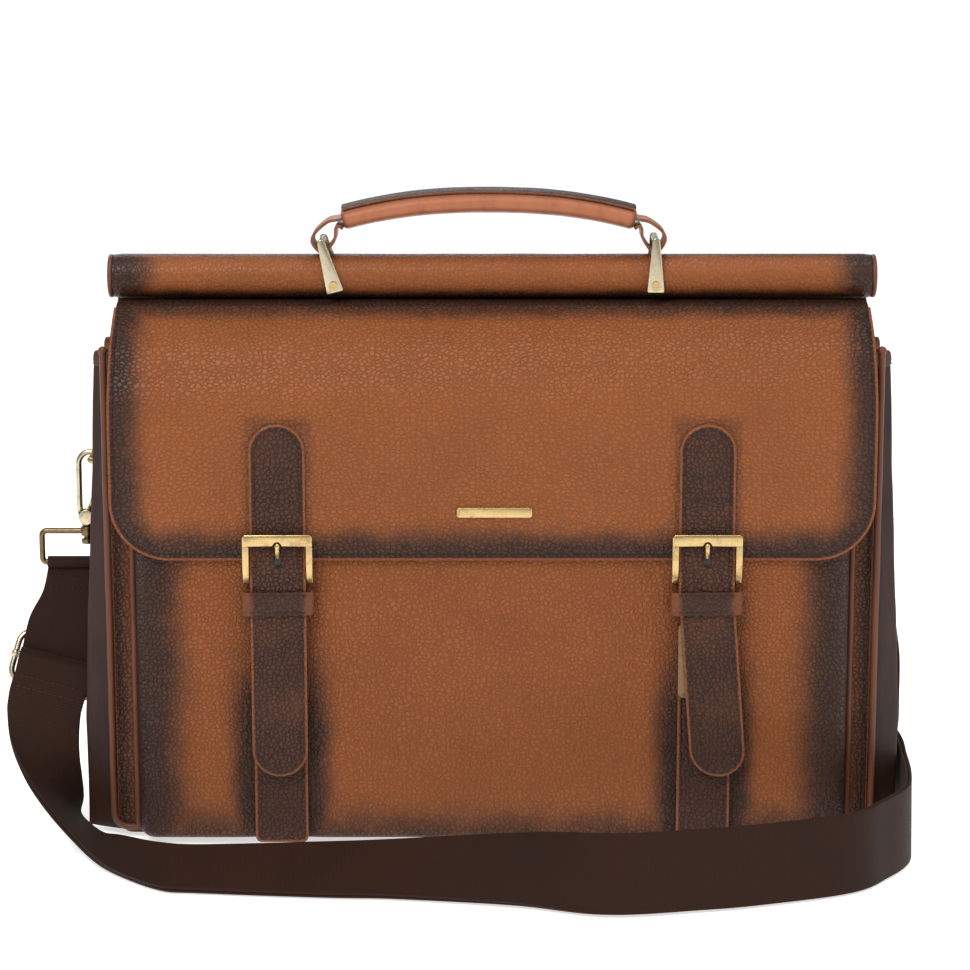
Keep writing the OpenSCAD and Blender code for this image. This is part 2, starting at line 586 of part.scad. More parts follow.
// ---------- webbing ----------
// The webbing is doubled: one layer is sewn round the left ring and runs through the
// slider, the other is sewn round the slider's bar, and both run on to the right ring.
// Each row is a point on the lower edge and one on the upper edge, chosen by hand.
left_low = hook_left_at[2] + boss_z - strap_ring_h; // the left ring's lower bar
right_low = hook_right_at[2] + boss_z - strap_ring_h;
ring_left_x = hook_left_at[0] - 1.5;
ring_right_x = hook_right_at[0];
half_w = webbing_w / 2;
sx = ridge_low / 205.4;
sy = bag_d / 100;
route_left = [
    [[ring_left_x - half_w, ring_y, left_low - 2], [ring_left_x + half_w, ring_y, left_low - 2]],
    [[-229.5 * sx, 3, left_low - 14], [-191.5 * sx, 4, left_low - 17]],
    [[-236 * sx, -2, 106], [-199 * sx, -3, 98]],
    [[-240 * sx, -9, 88], [-203 * sx, -10, 80]],
    [[-243.5 * sx, -16, 70], [-210.5 * sx, -18, 62]],
    [[-243 * sx, -23, 52], [-211.5 * sx, -21.5, 40]],
    [[-234 * sx, -34, 33], [-211.5 * sx, -16, 18]]];
route_floor = [
    [[-221, -48, 18], [-212, -16, 7]],
    [[-207, -66, 9], [-204.5, -28, 4]],
    [[-194, -84, 4], [-195, -46, 5]],
    [[-181, -99, 2.2], [-184, -62, 9]],
    [[-160, -119, 2], [-163, -82, 12]],
    [[-140, -123, 2], [-142, -86, 12]],
    [[-82, -129, 2], [-83, -94, 16]],
    [[-44, -132, 2], [-45, -98, 19]],
    [[13, -143, 2], [13, -115, 28]],
    [[56, -154, 1], [56, -142, 37]],
    [[97, -147, 1], [97, -136, 37]],
    [[127, -139, 1], [127, -129, 37]],
    [[171, -121, 1], [171, -113, 37]],
    [[191, -99, 0.5], [190, -93, 38]],
    [[204, -76, 0.5], [203, -72, 38]],
    [[208, -48, 0.5], [208, -47, 38]],
    [[210, -15, 0.5], [210, -15, 38]],
    [[211.5, 20, 0.5], [211.5, 20, 38]],
    [[207, 54, 0.5], [207, 54, 38]],
    [[190, 68, 0.5], [190, 67, 38]],
    [[150, 74, 0.5], [150, 72, 38]],
    [[115, 78, 0.5], [115, 76, 38]],
    [[98, 86, 0.5], [98, 85, 38]],
    [[98, 99, 0.5], [98, 98, 38]],
    [[115, 107, 0.5], [115, 105, 38]],
    [[150, 106, 0.5], [150, 103, 38]],
    [[182, 98, 1], [182, 96, 39]],
    [[204, 78, 8], [204, 82, 46]]];
route_right = [
    [[212.5, 47, 27], [213, 74, 54]],
    [[210.5, 22, 60], [211, 57, 76]],
    [[207, 4, 90], [209, 40, 101]],
    [[ring_right_x + 1, ring_y - half_w, 110 * right_low / 122],
        [ring_right_x + 1, ring_y + half_w, 113 * right_low / 122]],
    [[ring_right_x, ring_y - half_w, right_low - 2], [ring_right_x, ring_y + half_w, right_low - 2]]];
function fitted(rows) = [for (r = rows) [for (p = r) [p[0] * sx, p[1] * sy, p[2]]]];
route_rows = concat(route_left, fitted(route_floor), fitted([for (i = [0:2]) route_right[i]]),
    [route_right[3], route_right[4]]);
lows = smooth([for (r = route_rows) r[0]], 3);
highs = smooth([for (r = route_rows) r[1]], 3);
stations = len(lows) - 1;
function mid_at(i) = (at(lows, i) + at(highs, i)) / 2;
function across_at(i) = unit(at(highs, i) - at(lows, i));
function out_at(i) = unit(cross(unit(mid_at(i + 1 > stations ? i : i + 1) - mid_at(i - 1 < 0 ? i : i - 1)),
    across_at(i)));
// Section of a ribbon between two offsets from the route's middle surface
function ribbon_section(i, a, b, w) = let (m = mid_at(i), c = across_at(i) * w / 2, o = out_at(i))
    [m - c + o * a, m + c + o * a, m + c + o * b, m - c + o * b];
module ribbon(first, last, a, b) loft([for (i = [first:last]) ribbon_section(i, a, b, webbing_w)]);
layer = webbing_t / 2 + 0.12;
slider_at = 9;                            // the station in the middle of the slider
module ring_eye(at_point, turn) translate(at_point) rotate([0, 0, turn]) difference() {
    pin_x(wire_r + run + webbing_t, webbing_w);
    pin_x(wire_r + run, webbing_w + 1);
}
module webbing_inner() color(webbing_c) {
    ribbon(0, stations - 1, -layer - webbing_t / 2, webbing_t / 2 - layer);
    ring_eye([ring_left_x, ring_y, left_low], 0);
}
module webbing_outer() color(webbing_c) {
    ribbon(slider_at + 3, stations, layer - webbing_t / 2, layer + webbing_t / 2);
    ring_eye([ring_right_x, ring_y, right_low], 90);
}

// ---------- slider ----------
slide_dir = unit(mid_at(slider_at + 2) - mid_at(slider_at - 2));
slide_across = unit(across_at(slider_at) - slide_dir * (across_at(slider_at) * slide_dir));
slide_out = cross(slide_dir, slide_across);
// Puts a piece drawn with X along the webbing's width, Z up its length and -Y outward
module on_slider() multmatrix([for (k = [0:2]) [slide_across[k], -slide_out[k], -slide_dir[k],
    mid_at(slider_at)[k]]]) children();
slider_h = 27;
slider_wire = 1.6;
module slider_frame() color(brass) on_slider()
    translate([0, layer + webbing_t / 2 + slider_wire + 0.6, 0])
        wire_frame(webbing_w + 6, slider_h, 7, slider_wire);
bar_out = webbing_t / 2 - layer - 0.7 - webbing_t - slider_wire;
module slider_bar() color(brass) on_slider() {
    translate([0, bar_out, 0]) pin_x(1.4, webbing_w + 6);
    for (s = [-1, 1]) translate([s * (webbing_w / 2 + 3), 0, 0]) difference() {
        translate([0, bar_out / 2 + 1.8, 0]) cube([5, 7.6 - bar_out, 4.4], center = true);
        translate([0, layer + webbing_t / 2 + slider_wire + 0.6, 0])
            cylinder(h = 9, r = slider_wire + run, center = true);
    }
}
// The end of the outer webbing: folded round the bar and sewn down on its own front
loop_path = smooth([[-layer - webbing_t - 1, -30], [-layer - webbing_t - 0.8, -20],
    [bar_out - 1.4, -8], [bar_out - 2.6, 0], [bar_out - 1.8, 1.8], [bar_out, 2.6],
    [bar_out + 1.8, 1.8], [bar_out + 2.5, 0],
    [-layer - 0.7, -4.5], [-layer - 0.6, -8.5]], 4);
module strap_end_loop() color(webbing_c) on_slider() along_x(webbing_w - 1)
    polygon(band(loop_path, -webbing_t / 2, webbing_t / 2));

base_panel();
base_board();
front_panel();
back_panel();
gusset_left();
gusset_right();
piping_front();
piping_back();
front_pocket();
pocket_piping();
pocket_binding();
centre_divider();
organiser_pocket();
top_rod();
rod_cover();
rod_caps();
lower_strap_left();
lower_strap_right();
clasp_socket_left();
clasp_socket_right();
handle_screws();
d_ring_tab_left();
d_ring_tab_right();
webbing_inner();
webbing_outer();
strap_ring_left();
strap_ring_right();
flap();
flap_lining();
badge_plate();
flap_strap_left();
flap_strap_right();
buckle_left();
buckle_right();
keeper_left();
keeper_right();
clasp_stud_left();
clasp_stud_right();
prong_left();
prong_right();
bracket_left();
bracket_right();
handle_grip();
handle_top_strip();
handle_loop_left();
handle_loop_right();
d_ring_left();
d_ring_right();
hook_left();
hook_right();
hook_gate_left();
hook_gate_right();
gate_pin_left();
gate_pin_right();
slider_frame();
slider_bar();
strap_end_loop();
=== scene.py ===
import math
import bmesh
import bpy
import numpy as np
from mathutils import Matrix, Vector, noise


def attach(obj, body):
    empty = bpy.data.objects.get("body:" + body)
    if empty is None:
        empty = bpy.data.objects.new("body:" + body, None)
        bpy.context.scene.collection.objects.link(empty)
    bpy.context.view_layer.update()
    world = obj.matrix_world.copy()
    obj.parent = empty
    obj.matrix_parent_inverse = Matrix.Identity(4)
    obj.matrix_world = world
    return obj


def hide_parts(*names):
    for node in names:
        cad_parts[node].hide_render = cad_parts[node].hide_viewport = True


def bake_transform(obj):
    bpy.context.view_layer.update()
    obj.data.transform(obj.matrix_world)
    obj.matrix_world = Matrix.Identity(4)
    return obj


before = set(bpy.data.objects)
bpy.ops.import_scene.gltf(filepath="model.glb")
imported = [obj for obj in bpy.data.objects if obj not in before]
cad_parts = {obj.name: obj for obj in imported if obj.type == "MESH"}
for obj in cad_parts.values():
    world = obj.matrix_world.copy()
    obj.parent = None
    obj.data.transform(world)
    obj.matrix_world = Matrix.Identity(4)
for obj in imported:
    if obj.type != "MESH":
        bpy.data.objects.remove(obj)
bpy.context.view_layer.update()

# Sizes of the bag in millimetres, as the frame has them
PANEL_HALF = 189.5
FRONT_Y = -50.0
PANEL_Y = -32.0
MOUTH_Z = 246.0
POCKET_TOP = 224.0
POCKET_HALF = 176.7
ROD = Vector((0, 3, 281))
ROD_R = 11.0
ROD_HALF = 190.5
CREASE = (-12.3, 266.0)
FLAP_HALF = 187.5
FLAP_LOW = 148.0
FLAP_ROUND = 29        # radius of its two lower corners
FLAP_ABOVE = -60       # its cut is taken as running on this far, so that the fold is no edge
STRAP_X = 105.0
STRAP_HALF = 13.7
STRAP_T = 2.4
STRAP_TOP = 216.2
TAIL_LOW = 39.0
BAR = Vector((0, -53.4, 144))
BUCKLE_TOP = 162.4
BUCKLE_FACE = -61.6
LOWER_HALF = 13.2      # short strap under each tail
LOWER_ENDS = (3, 118.5)
LOWER_ROUND = 3
STRAP_FRONT = -58.8
WEB_W = 38.0
WEB_T = 1.6
RING_Y = 8.0

NO_EDGE = 50           # "edge" value of a point that is far from any cut edge
PAINT_INSET = 2.6      # how far the pressed seam line lies from a cut edge


# ---------- working helpers ----------
def srgb(r, g, b):
    """A colour from its 0 to 255 values."""
    return tuple(((c / 255 + 0.055) / 1.055) ** 2.4 for c in (r, g, b)) + (1,)


def ease(low, high, x):
    t = min(1, max(0, (x - low) / (high - low)))
    return t * t * (3 - 2 * t)


def wander(x, y, z, size):
    """Soft random number from -1 to 1 that changes over a distance of size."""
    return noise.noise(Vector((x, y, z)) / size)


def unit(v):
    return v / np.linalg.norm(v)


def circle(r, steps=28):
    """Outline of a disc."""
    return [(r * math.cos(t), r * math.sin(t))
            for t in np.linspace(0, 2 * math.pi, steps + 1)[:-1]]


def plate(x, low, high, rx, ry, parts):
    """Outline of a plate with round corners, whose centres lie at x and -x, low and high."""
    step = 90 / parts
    return [(cx + rx * math.cos(t), cy + ry * math.sin(t))
            for cx, cy, first in ((x, high, 0), (-x, high, 90), (-x, low, 180), (x, low, 270))
            for t in [math.radians(first + step * k) for k in range(parts + 1)]]


def smooth_line(points, steps=8):
    """Curve through the points, with that many steps between each two."""
    p = [np.array(q, float) for q in points]
    p = [p[0]] + p + [p[-1]]
    line = []
    for i in range(1, len(p) - 2):
        a, b, c, d = p[i - 1:i + 3]
        for k in range(steps):
            t = k / steps
            line.append(0.5 * (2 * b + t * (c - a) + t * t * (2 * a - 5 * b + 4 * c - d)
                               + t * t * t * (3 * b - a - 3 * c + d)))
    return np.array(line + [p[-1]])


class Line:
    """A curve that is walked by distance from its start."""

    def __init__(self, points):
        self.points = np.array(points, float)
        steps = np.linalg.norm(np.diff(self.points, axis=0), axis=1)
        self.marks = np.concatenate([[0], np.cumsum(steps)])
        self.length = self.marks[-1]

    def at(self, s):
        return np.array([np.interp(s, self.marks, c) for c in self.points.T])

    def way(self, s):
        return unit(self.at(min(self.length, s + 0.8)) - self.at(max(0, s - 0.8)))

    def side(self, s, off):
        """The point at s, moved sideways by off, for a flat curve."""
        d = self.way(s)
        return self.at(s) + off * np.array([-d[1], d[0]])


def grid(nu, nv, place, flat=None, tint=None, close=False):
    """Sheet of nu by nv faces. place, flat and tint take a, b from 0 to 1."""
    bm = bmesh.new()
    bmesh.ops.create_grid(bm, x_segments=nu, y_segments=nv, size=0.5)
    uv = bm.loops.layers.uv.new("flat")
    # per-vertex darkening layer: real burnish, and painted shade where a tint function puts it
    burnish_and_shade = bm.verts.layers.float.new("burnish_and_shade")
    edge = bm.verts.layers.float.new("edge")
    for f in bm.faces:
        for loop in f.loops:
            a, b = loop.vert.co.x + 0.5, loop.vert.co.y + 0.5
            loop[uv].uv = flat(a, b) if flat else (a, b)
    for v in bm.verts:
        a, b = v.co.x + 0.5, v.co.y + 0.5
        if tint:
            v[burnish_and_shade], v[edge] = tint(a, b)
        else:
            v[edge] = NO_EDGE
        v.co = Vector(place(a, b))
    if close:
        bmesh.ops.remove_doubles(bm, verts=bm.verts, dist=0.002)
        bmesh.ops.recalc_face_normals(bm, faces=bm.faces)
    return bm


def cut_sheet(nu, nv, surface, flat, tint):
    """Sheet on a surface, with the UV map as its flat cut in metres."""
    return grid(nu, nv, lambda a, b: surface(*flat(a, b))[0],
                lambda a, b: tuple(x / 1000 for x in flat(a, b)), tint)


def face_to(bm, way):
    """Turns an open sheet so that its faces look the given way on the whole."""
    bm.normal_update()
    way = Vector(way)
    if sum(f.normal.dot(way) * f.calc_area() for f in bm.faces) < 0:
        bmesh.ops.reverse_faces(bm, faces=bm.faces)
    return bm


def dense_ends(t, pull=0.55):
    """Spaces 0 to 1 closer together near both ends."""
    return (1 - pull) * t + pull * (0.5 - 0.5 * math.cos(math.pi * t))


def round_corner(u, v, half, low, high, r_low, r_high=0.0):
    """Bends a rectangle's grid so that its corners are round."""
    for r, end, sign in ((r_low, low, -1), (r_high, high, 1)):
        if r:
            a, b = (abs(u) - (half - r)) / r, (sign * (v - end) + r) / r
            if a > 0 and b > 0:
                a, b = a * math.sqrt(1 - b * b / 2), b * math.sqrt(1 - a * a / 2)
                return math.copysign(half - r + a * r, u), end + sign * (b - 1) * r
    return u, v


def edge_gap(u, v, half, low, high, r_low, r_high=0.0):
    """Distance from a point of a round-cornered rectangle to its edge."""
    gap = min(half - abs(u), v - low, high - v)
    for r, end, sign in ((r_low, low, -1), (r_high, high, 1)):
        if r:
            a, b = abs(u) - (half - r), sign * (v - end) + r
            if a > 0 and b > 0:
                gap = min(gap, r - math.hypot(a, b))
    return max(0, gap)


def make(bm, name, body, materials, stands_for=(), thick=0.0, offset=-1.0,
         rounded=0.0, hard=False):
    """Turns a bmesh in millimetres into a finished piece that rides on a body."""
    mesh = bpy.data.meshes.new(name)
    bm.to_mesh(mesh)
    bm.free()
    mesh.transform(Matrix.Scale(0.001, 4))
    for m in materials:
        mesh.materials.append(m)
    mesh.polygons.foreach_set("use_smooth", [True] * len(mesh.polygons))
    piece = bpy.data.objects.new(name, mesh)
    bpy.context.scene.collection.objects.link(piece)
    if thick:
        wall = piece.modifiers.new("wall", "SOLIDIFY")
        wall.thickness = thick / 1000
        wall.offset = offset
        wall.use_even_offset = False
        wall.material_offset_rim = len(materials) - 1
    if rounded:
        soft = piece.modifiers.new("rounding", "BEVEL")
        soft.width = rounded / 1000
        soft.segments = 3
        soft.limit_method = "ANGLE"
        soft.angle_limit = math.radians(40)
        soft.harden_normals = hard
    if body:
        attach(piece, body)
    if stands_for:
        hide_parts(*stands_for)
    return piece


def wire(bm, points, r, closed=False, sides=16):
    """Adds a round wire along the points to a bmesh."""
    curve = bpy.data.curves.new("wire", "CURVE")
    curve.dimensions = "3D"
    curve.bevel_depth = r
    curve.bevel_resolution = max(1, sides // 4 - 1)
    curve.use_fill_caps = not closed
    run = curve.splines.new("POLY")
    run.points.add(len(points) - 1)
    for q, p in zip(run.points, points):
        q.co = (*p, 1)
    run.use_cyclic_u = closed
    holder = bpy.data.objects.new("wire", curve)
    mesh = bpy.data.meshes.new_from_object(holder)
    start = len(bm.verts)
    bm.from_mesh(mesh)
    bm.verts.ensure_lookup_table()
    fresh = bm.verts[start:]
    bmesh.ops.remove_doubles(bm, verts=fresh, dist=0.0005)
    bmesh.ops.recalc_face_normals(bm, faces=bm.faces)
    bpy.data.objects.remove(holder)
    bpy.data.curves.remove(curve)
    bpy.data.meshes.remove(mesh)


def frame_points(w, h, r, place, steps=7):
    """Points of a round-cornered rectangle of wire."""
    out = []
    for sx, sz, turn in ((1, 1, 0), (-1, 1, 90), (-1, -1, 180), (1, -1, 270)):
        for k in range(steps + 1):
            t = math.radians(turn + 90 * k / steps)
            out.append(place(sx * (w / 2 - r) + r * math.cos(t),
                             sz * (h / 2 - r) + r * math.sin(t)))
    return out


def bar_of(bm, outline, low, high, place, bevel=0.3, segments=2):
    """Adds a flat shape, drawn as (p, q) points and extruded from low to high."""
    verts = [bm.verts.new(place(p, q, low)) for p, q in outline]
    first = bm.faces.new(verts)
    grown = bmesh.ops.extrude_face_region(bm, geom=[first])["geom"]
    top = [v for v in grown if isinstance(v, bmesh.types.BMVert)]
    step = Vector(place(0, 0, high)) - Vector(place(0, 0, low))
    bmesh.ops.translate(bm, verts=top, vec=step)
    part = set(verts) | set(top)
    faces = [f for f in bm.faces if set(f.verts) <= part]
    bmesh.ops.recalc_face_normals(bm, faces=faces)
    if bevel:
        edges = {e for f in faces for e in f.edges if e.calc_face_angle(0) > 0.6}
        bmesh.ops.bevel(bm, geom=list(edges), offset=bevel, segments=segments, profile=0.5,
                        affect="EDGES", clamp_overlap=True, material=-1)


def stitch_row(bm, surface, points, pitch=2.6, size=(0.85, 0.28, 0.24), lift=0.05):
    """Sews small stitches along a line drawn on a surface's flat cut."""
    line = Line(points)
    count = max(1, int(line.length / pitch))
    for k in range(count):
        s = (k + 0.5) * line.length / count
        here, way = line.at(s), line.way(s)
        spot, up = surface(*here)
        ahead = Vector(surface(*(here + 0.5 * way))[0]) - Vector(spot)
        up = Vector(up).normalized()
        along = (ahead - up * ahead.dot(up)).normalized()
        turn = Matrix((along, up.cross(along), up)).transposed().to_4x4()
        turn.translation = Vector(spot) + up * lift
        bmesh.ops.create_icosphere(bm, subdivisions=1, radius=1,
                                   matrix=turn @ Matrix.Diagonal((*size, 1)))


# ---------- finishes ----------
class Finish:
    """A node material that is built up one node at a time."""

    def __init__(self, name):
        self.material = bpy.data.materials.new(name)
        self.material.use_nodes = True
        self.tree = self.material.node_tree
        self.tree.nodes.clear()
        self.out = self.tree.nodes.new("ShaderNodeOutputMaterial")

    def add(self, kind, inputs=None, **settings):
        node = self.tree.nodes.new("ShaderNode" + kind)
        for key, value in settings.items():
            setattr(node, key, value)
        for key, value in (inputs or {}).items():
            socket = node.inputs[key]
            if isinstance(value, bpy.types.NodeSocket):
                self.tree.links.new(value, socket)
            else:
                socket.default_value = value
        return node

    def math(self, operation, a, b=0.0, c=None):
        inputs = {0: a, 1: b}
        if c is not None:
            inputs[2] = c
        return self.add("Math", inputs, operation=operation).outputs[0]

    def steps(self, value, low, high, to_low=0.0, to_high=1.0):
        return self.add("MapRange", {0: value, 1: low, 2: high, 3: to_low, 4: to_high},
                        interpolation_type="SMOOTHSTEP").outputs[0]

    def mix(self, amount, first, second, blend="MIX"):
        return self.add("Mix", {0: amount, 6: first, 7: second}, data_type="RGBA",
                        blend_type=blend).outputs[2]

    def place(self, scale=(1, 1, 1), turn=(0, 0, 0)):
        spot = self.add("TexCoord").outputs["Object"]
        return self.add("Mapping", {"Vector": spot, "Scale": scale, "Rotation": turn}).outputs[0]

    def noise(self, where, scale, detail=3.0, rough=0.5):
        return self.add("TexNoise", {"Vector": where, "Scale": scale, "Detail": detail,
                                     "Roughness": rough}).outputs["Fac"]

    def bump(self, height, strength, distance, normal=None):
        inputs = {"Height": height, "Strength": strength, "Distance": distance}
        if normal:
            inputs["Normal"] = normal
        return self.add("Bump", inputs).outputs[0]

    def shade(self, **inputs):
        names = {"color": "Base Color", "rough": "Roughness", "metal": "Metallic",
                 "normal": "Normal", "spec": "Specular IOR Level", "coat": "Coat Weight",
                 "coat_rough": "Coat Roughness", "sheen": "Sheen Weight",
                 "sheen_rough": "Sheen Roughness", "glow": "Emission Color",
                 "glow_power": "Emission Strength"}
        shader = self.add("BsdfPrincipled", {names[k]: v for k, v in inputs.items()})
        self.tree.links.new(shader.outputs[0], self.out.inputs[0])
        return self.material


def dim(color, share):
    """The colour, darkened to that share of itself."""
    return tuple(c * share for c in color[:3]) + (1,)


def pebbled(name, light, deep, pebble=2.1, relief=0.5, rough=0.4, line=None, stretch=(1, 1, 1)):
    """Tumbled leather, darkened towards deep by the per-vertex darkening layer, which holds burnish
    and painted shade; edge draws the cut edge and seam.
    """
    m = Finish(name)
    where = m.place(stretch)
    warp = m.add("TexNoise", {"Vector": where, "Scale": 260.0, "Detail": 2.0}).outputs["Color"]
    bent = m.add("VectorMath", {0: warp, 1: (0.0011, 0.0011, 0.0011), 2: where},
                 operation="MULTIPLY_ADD").outputs[0]
    cells = m.add("TexVoronoi", {"Vector": bent, "Scale": 1000 / pebble, "Randomness": 0.95},
                  feature="DISTANCE_TO_EDGE").outputs[0]
    groove = m.steps(cells, 0.0, 0.19)
    small = m.add("TexVoronoi", {"Vector": bent, "Scale": 2300 / pebble},
                  feature="SMOOTH_F1").outputs[0]
    pores = m.noise(where, 2600.0, 3.0, 0.6)
    cloud = m.noise(where, 22.0, 4.0, 0.6)
    # darkening layer from the mesh: burnish and painted shade
    burnish_and_shade = m.add("Attribute", attribute_name="burnish_and_shade").outputs["Fac"]
    edge = m.add("Attribute", attribute_name="edge").outputs["Fac"]
    patchy = m.math("MULTIPLY_ADD", m.math("SUBTRACT", m.noise(where, 75.0, 5.0, 0.65), 0.5),
                    m.steps(burnish_and_shade, 0.0, 0.25, 0.0, 0.55), burnish_and_shade)
    darkening = m.math("MULTIPLY_ADD", m.math("SUBTRACT", 1.0, groove), 0.12, patchy)
    tan = m.mix(m.steps(cloud, 0.3, 0.7), dim(light, 0.88), light)
    tan = m.mix(m.math("MULTIPLY", m.math("SUBTRACT", 1.0, groove), 0.4), tan, dim(light, 0.5))
    dark = m.mix(groove, dim(deep, 0.45), deep)
    brown = tuple(0.42 * a + 0.58 * b for a, b in zip(light, deep))
    color = m.mix(m.steps(darkening, 0.02, 0.6), tan, brown)
    color = m.mix(m.steps(darkening, 0.35, 1.0), color, dark)
    if line:
        rim = m.steps(edge, line[1], line[1] + 0.5, 1.0, 0.0)
        color = m.mix(rim, color, line[0])
    seam = m.steps(m.math("ABSOLUTE", m.math("SUBTRACT", edge, PAINT_INSET)), 0.1, 0.8)
    height = m.math("MULTIPLY_ADD", groove, 0.7, m.math("MULTIPLY", small, -0.25))
    height = m.math("MULTIPLY_ADD", pores, 0.16, height)
    height = m.math("MULTIPLY_ADD", seam, 0.8, height)
    gloss = m.math("MULTIPLY_ADD", m.math("SUBTRACT", 1.0, groove), 0.14,
                   m.math("MULTIPLY_ADD", cloud, 0.16, rough - 0.08))
    return m.shade(color=color, rough=gloss, normal=m.bump(height, relief, 0.0007), spec=0.22)


def smooth_leather(name, light, deep, rough=0.4, relief=0.25):
    """Smooth hide with fine pores and faint creases."""
    m = Finish(name)
    where = m.place()
    pores = m.add("TexVoronoi", {"Vector": where, "Scale": 1500.0},
                  feature="DISTANCE_TO_EDGE").outputs[0]
    creases = m.noise(m.place((1, 1, 0.25)), 130.0, 6.0, 0.65)
    # darkening layer from the mesh: burnish and painted shade
    burnish_and_shade = m.add("Attribute", attribute_name="burnish_and_shade").outputs["Fac"]
    darkening = m.steps(m.math("MULTIPLY_ADD", m.math("SUBTRACT", creases, 0.5), 0.5, burnish_and_shade), 0.0, 1.0)
    color = m.mix(darkening, light, deep)
    color = m.mix(m.steps(creases, 0.42, 0.7, 0.0, 0.22), color, dim(deep, 0.5))
    height = m.math("MULTIPLY_ADD", m.steps(pores, 0.0, 0.2), 0.35, creases)
    gloss = m.math("MULTIPLY_ADD", creases, 0.2, rough - 0.1)
    return m.shade(color=color, rough=gloss, normal=m.bump(height, relief, 0.0004), spec=0.25)


def edge_paint(name, color):
    """Painted cut edge of the leather, a little uneven."""
    m = Finish(name)
    where = m.place()
    uneven = m.noise(where, 420.0, 4.0, 0.6)
    tone = m.mix(m.steps(uneven, 0.35, 0.7), color, dim(color, 0.6))
    return m.shade(color=tone, rough=m.math("MULTIPLY_ADD", uneven, 0.25, 0.3),
                   normal=m.bump(uneven, 0.3, 0.0003))


def metal(name, bright, aged, brushed=(2600, 2600, 180), rough=0.24):
    """Brushed antique metal, dull and dark where it isn't rubbed."""
    m = Finish(name)
    lines = m.noise(m.place(brushed), 1.0, 3.0, 0.6)
    cloud = m.noise(m.place(), 160.0, 5.0, 0.62)
    patina = m.steps(m.math("MULTIPLY_ADD", lines, 0.25, cloud), 0.58, 1.02)
    color = m.mix(patina, bright, aged)
    gloss = m.math("MULTIPLY_ADD", lines, 0.16, m.math("MULTIPLY_ADD", patina, 0.2, rough - 0.08))
    return m.shade(color=color, rough=gloss, metal=1.0, normal=m.bump(lines, 0.12, 0.0001))


def woven_band(name, light, deep, rib=1.25):
    """Strap webbing: ribs across it and yarns along it."""
    m = Finish(name)
    flat = m.add("UVMap", uv_map="flat").outputs[0]
    parts = m.add("SeparateXYZ", {0: flat})
    u, v = parts.outputs[0], parts.outputs[1]
    turn = 2 * math.pi * 1000
    across = m.math("SINE", m.math("MULTIPLY", v, turn / rib))
    shift = m.math("MULTIPLY", m.math("SIGN", across), 0.5)
    yarn = m.math("SINE", m.math("MULTIPLY_ADD", u, turn / 1.05, m.math("MULTIPLY", shift, 3.14)))
    weave = m.math("MULTIPLY_ADD", yarn, 0.5, m.math("ABSOLUTE", across))
    fuzz = m.noise(m.place(), 900.0, 5.0, 0.7)
    darkening = m.noise(m.place(), 30.0, 4.0, 0.6)
    tone = m.steps(m.math("MULTIPLY_ADD", fuzz, 0.9, weave), -0.1, 1.7)
    color = m.mix(tone, deep, light)
    color = m.mix(m.steps(darkening, 0.4, 0.75, 0.0, 0.3), color, deep)
    return m.shade(color=color, rough=m.math("MULTIPLY_ADD", fuzz, 0.2, 0.5),
                   normal=m.bump(m.math("MULTIPLY_ADD", fuzz, 0.4, weave), 0.4, 0.0003),
                   spec=0.12, sheen=0.04, sheen_rough=0.4)


def cloth(name, light, deep, yarn=0.9):
    """Plain woven lining."""
    m = Finish(name)
    where = m.place((1000 / yarn, 1000 / yarn, 1000 / yarn))
    parts = m.add("SeparateXYZ", {0: where})
    a = m.math("SINE", m.math("MULTIPLY", m.math("ADD", parts.outputs[0], parts.outputs[1]), 6.283))
    b = m.math("SINE", m.math("MULTIPLY", parts.outputs[2], 6.283))
    weave = m.math("MAXIMUM", a, b)
    fuzz = m.noise(m.place(), 700.0, 5.0, 0.7)
    tone = m.steps(m.math("MULTIPLY_ADD", fuzz, 0.8, weave), -0.2, 1.6)
    return m.shade(color=m.mix(tone, deep, light), rough=0.85, spec=0.2,
                   normal=m.bump(weave, 0.35, 0.0002), sheen=0.2, sheen_rough=0.5)


def thread(name, color):
    m = Finish(name)
    twist = m.add("TexWave", {"Vector": m.place(), "Scale": 900.0, "Distortion": 2.0,
                              "Detail": 1.0}).outputs[1]
    tone = m.mix(twist, color, dim(color, 0.45))
    return m.shade(color=tone, rough=0.6, normal=m.bump(twist, 0.4, 0.0001))


def wooden(name, light, deep):
    m = Finish(name)
    grain = m.noise(m.place((40, 500, 500)), 1.0, 6.0, 0.6)
    tone = m.mix(m.steps(grain, 0.35, 0.7), light, deep)
    return m.shade(color=tone, rough=m.math("MULTIPLY_ADD", grain, 0.2, 0.5),
                   normal=m.bump(grain, 0.2, 0.0003))


TAN = srgb(139, 77, 36)
# dark brown of burnished leather, also the colour of the painted shade
DEEP_BURNISH_AND_SHADE = srgb(60, 36, 25)
RIM = srgb(124, 68, 38)
hide = pebbled("tan_pebble", TAN, DEEP_BURNISH_AND_SHADE, 2.2, 0.8, 0.38, (RIM, 0.5))
hide_flap = pebbled("tan_pebble_flap", TAN, DEEP_BURNISH_AND_SHADE, 2.2, 0.75, 0.36, (RIM, 1.0), (0.85, 1, 1.1))
hide_rod = pebbled("tan_pebble_rod", TAN, DEEP_BURNISH_AND_SHADE, 2.0, 0.35, 0.34, None, (1.0, 0.8, 0.8))
hide_strap = pebbled("strap_pebble", srgb(112, 66, 42), srgb(68, 40, 28), 2.2, 0.9, 0.34,
                     (srgb(126, 74, 44), 0.9))
hide_dark = pebbled("dark_pebble", srgb(88, 54, 38), srgb(54, 34, 26), 2.0, 0.6, 0.38)
gusset_hide = smooth_leather("gusset_hide", srgb(52, 31, 22), srgb(27, 16, 11), 0.44, 0.35)
handle_hide = smooth_leather("handle_hide", srgb(160, 98, 68), srgb(112, 64, 42), 0.36, 0.2)
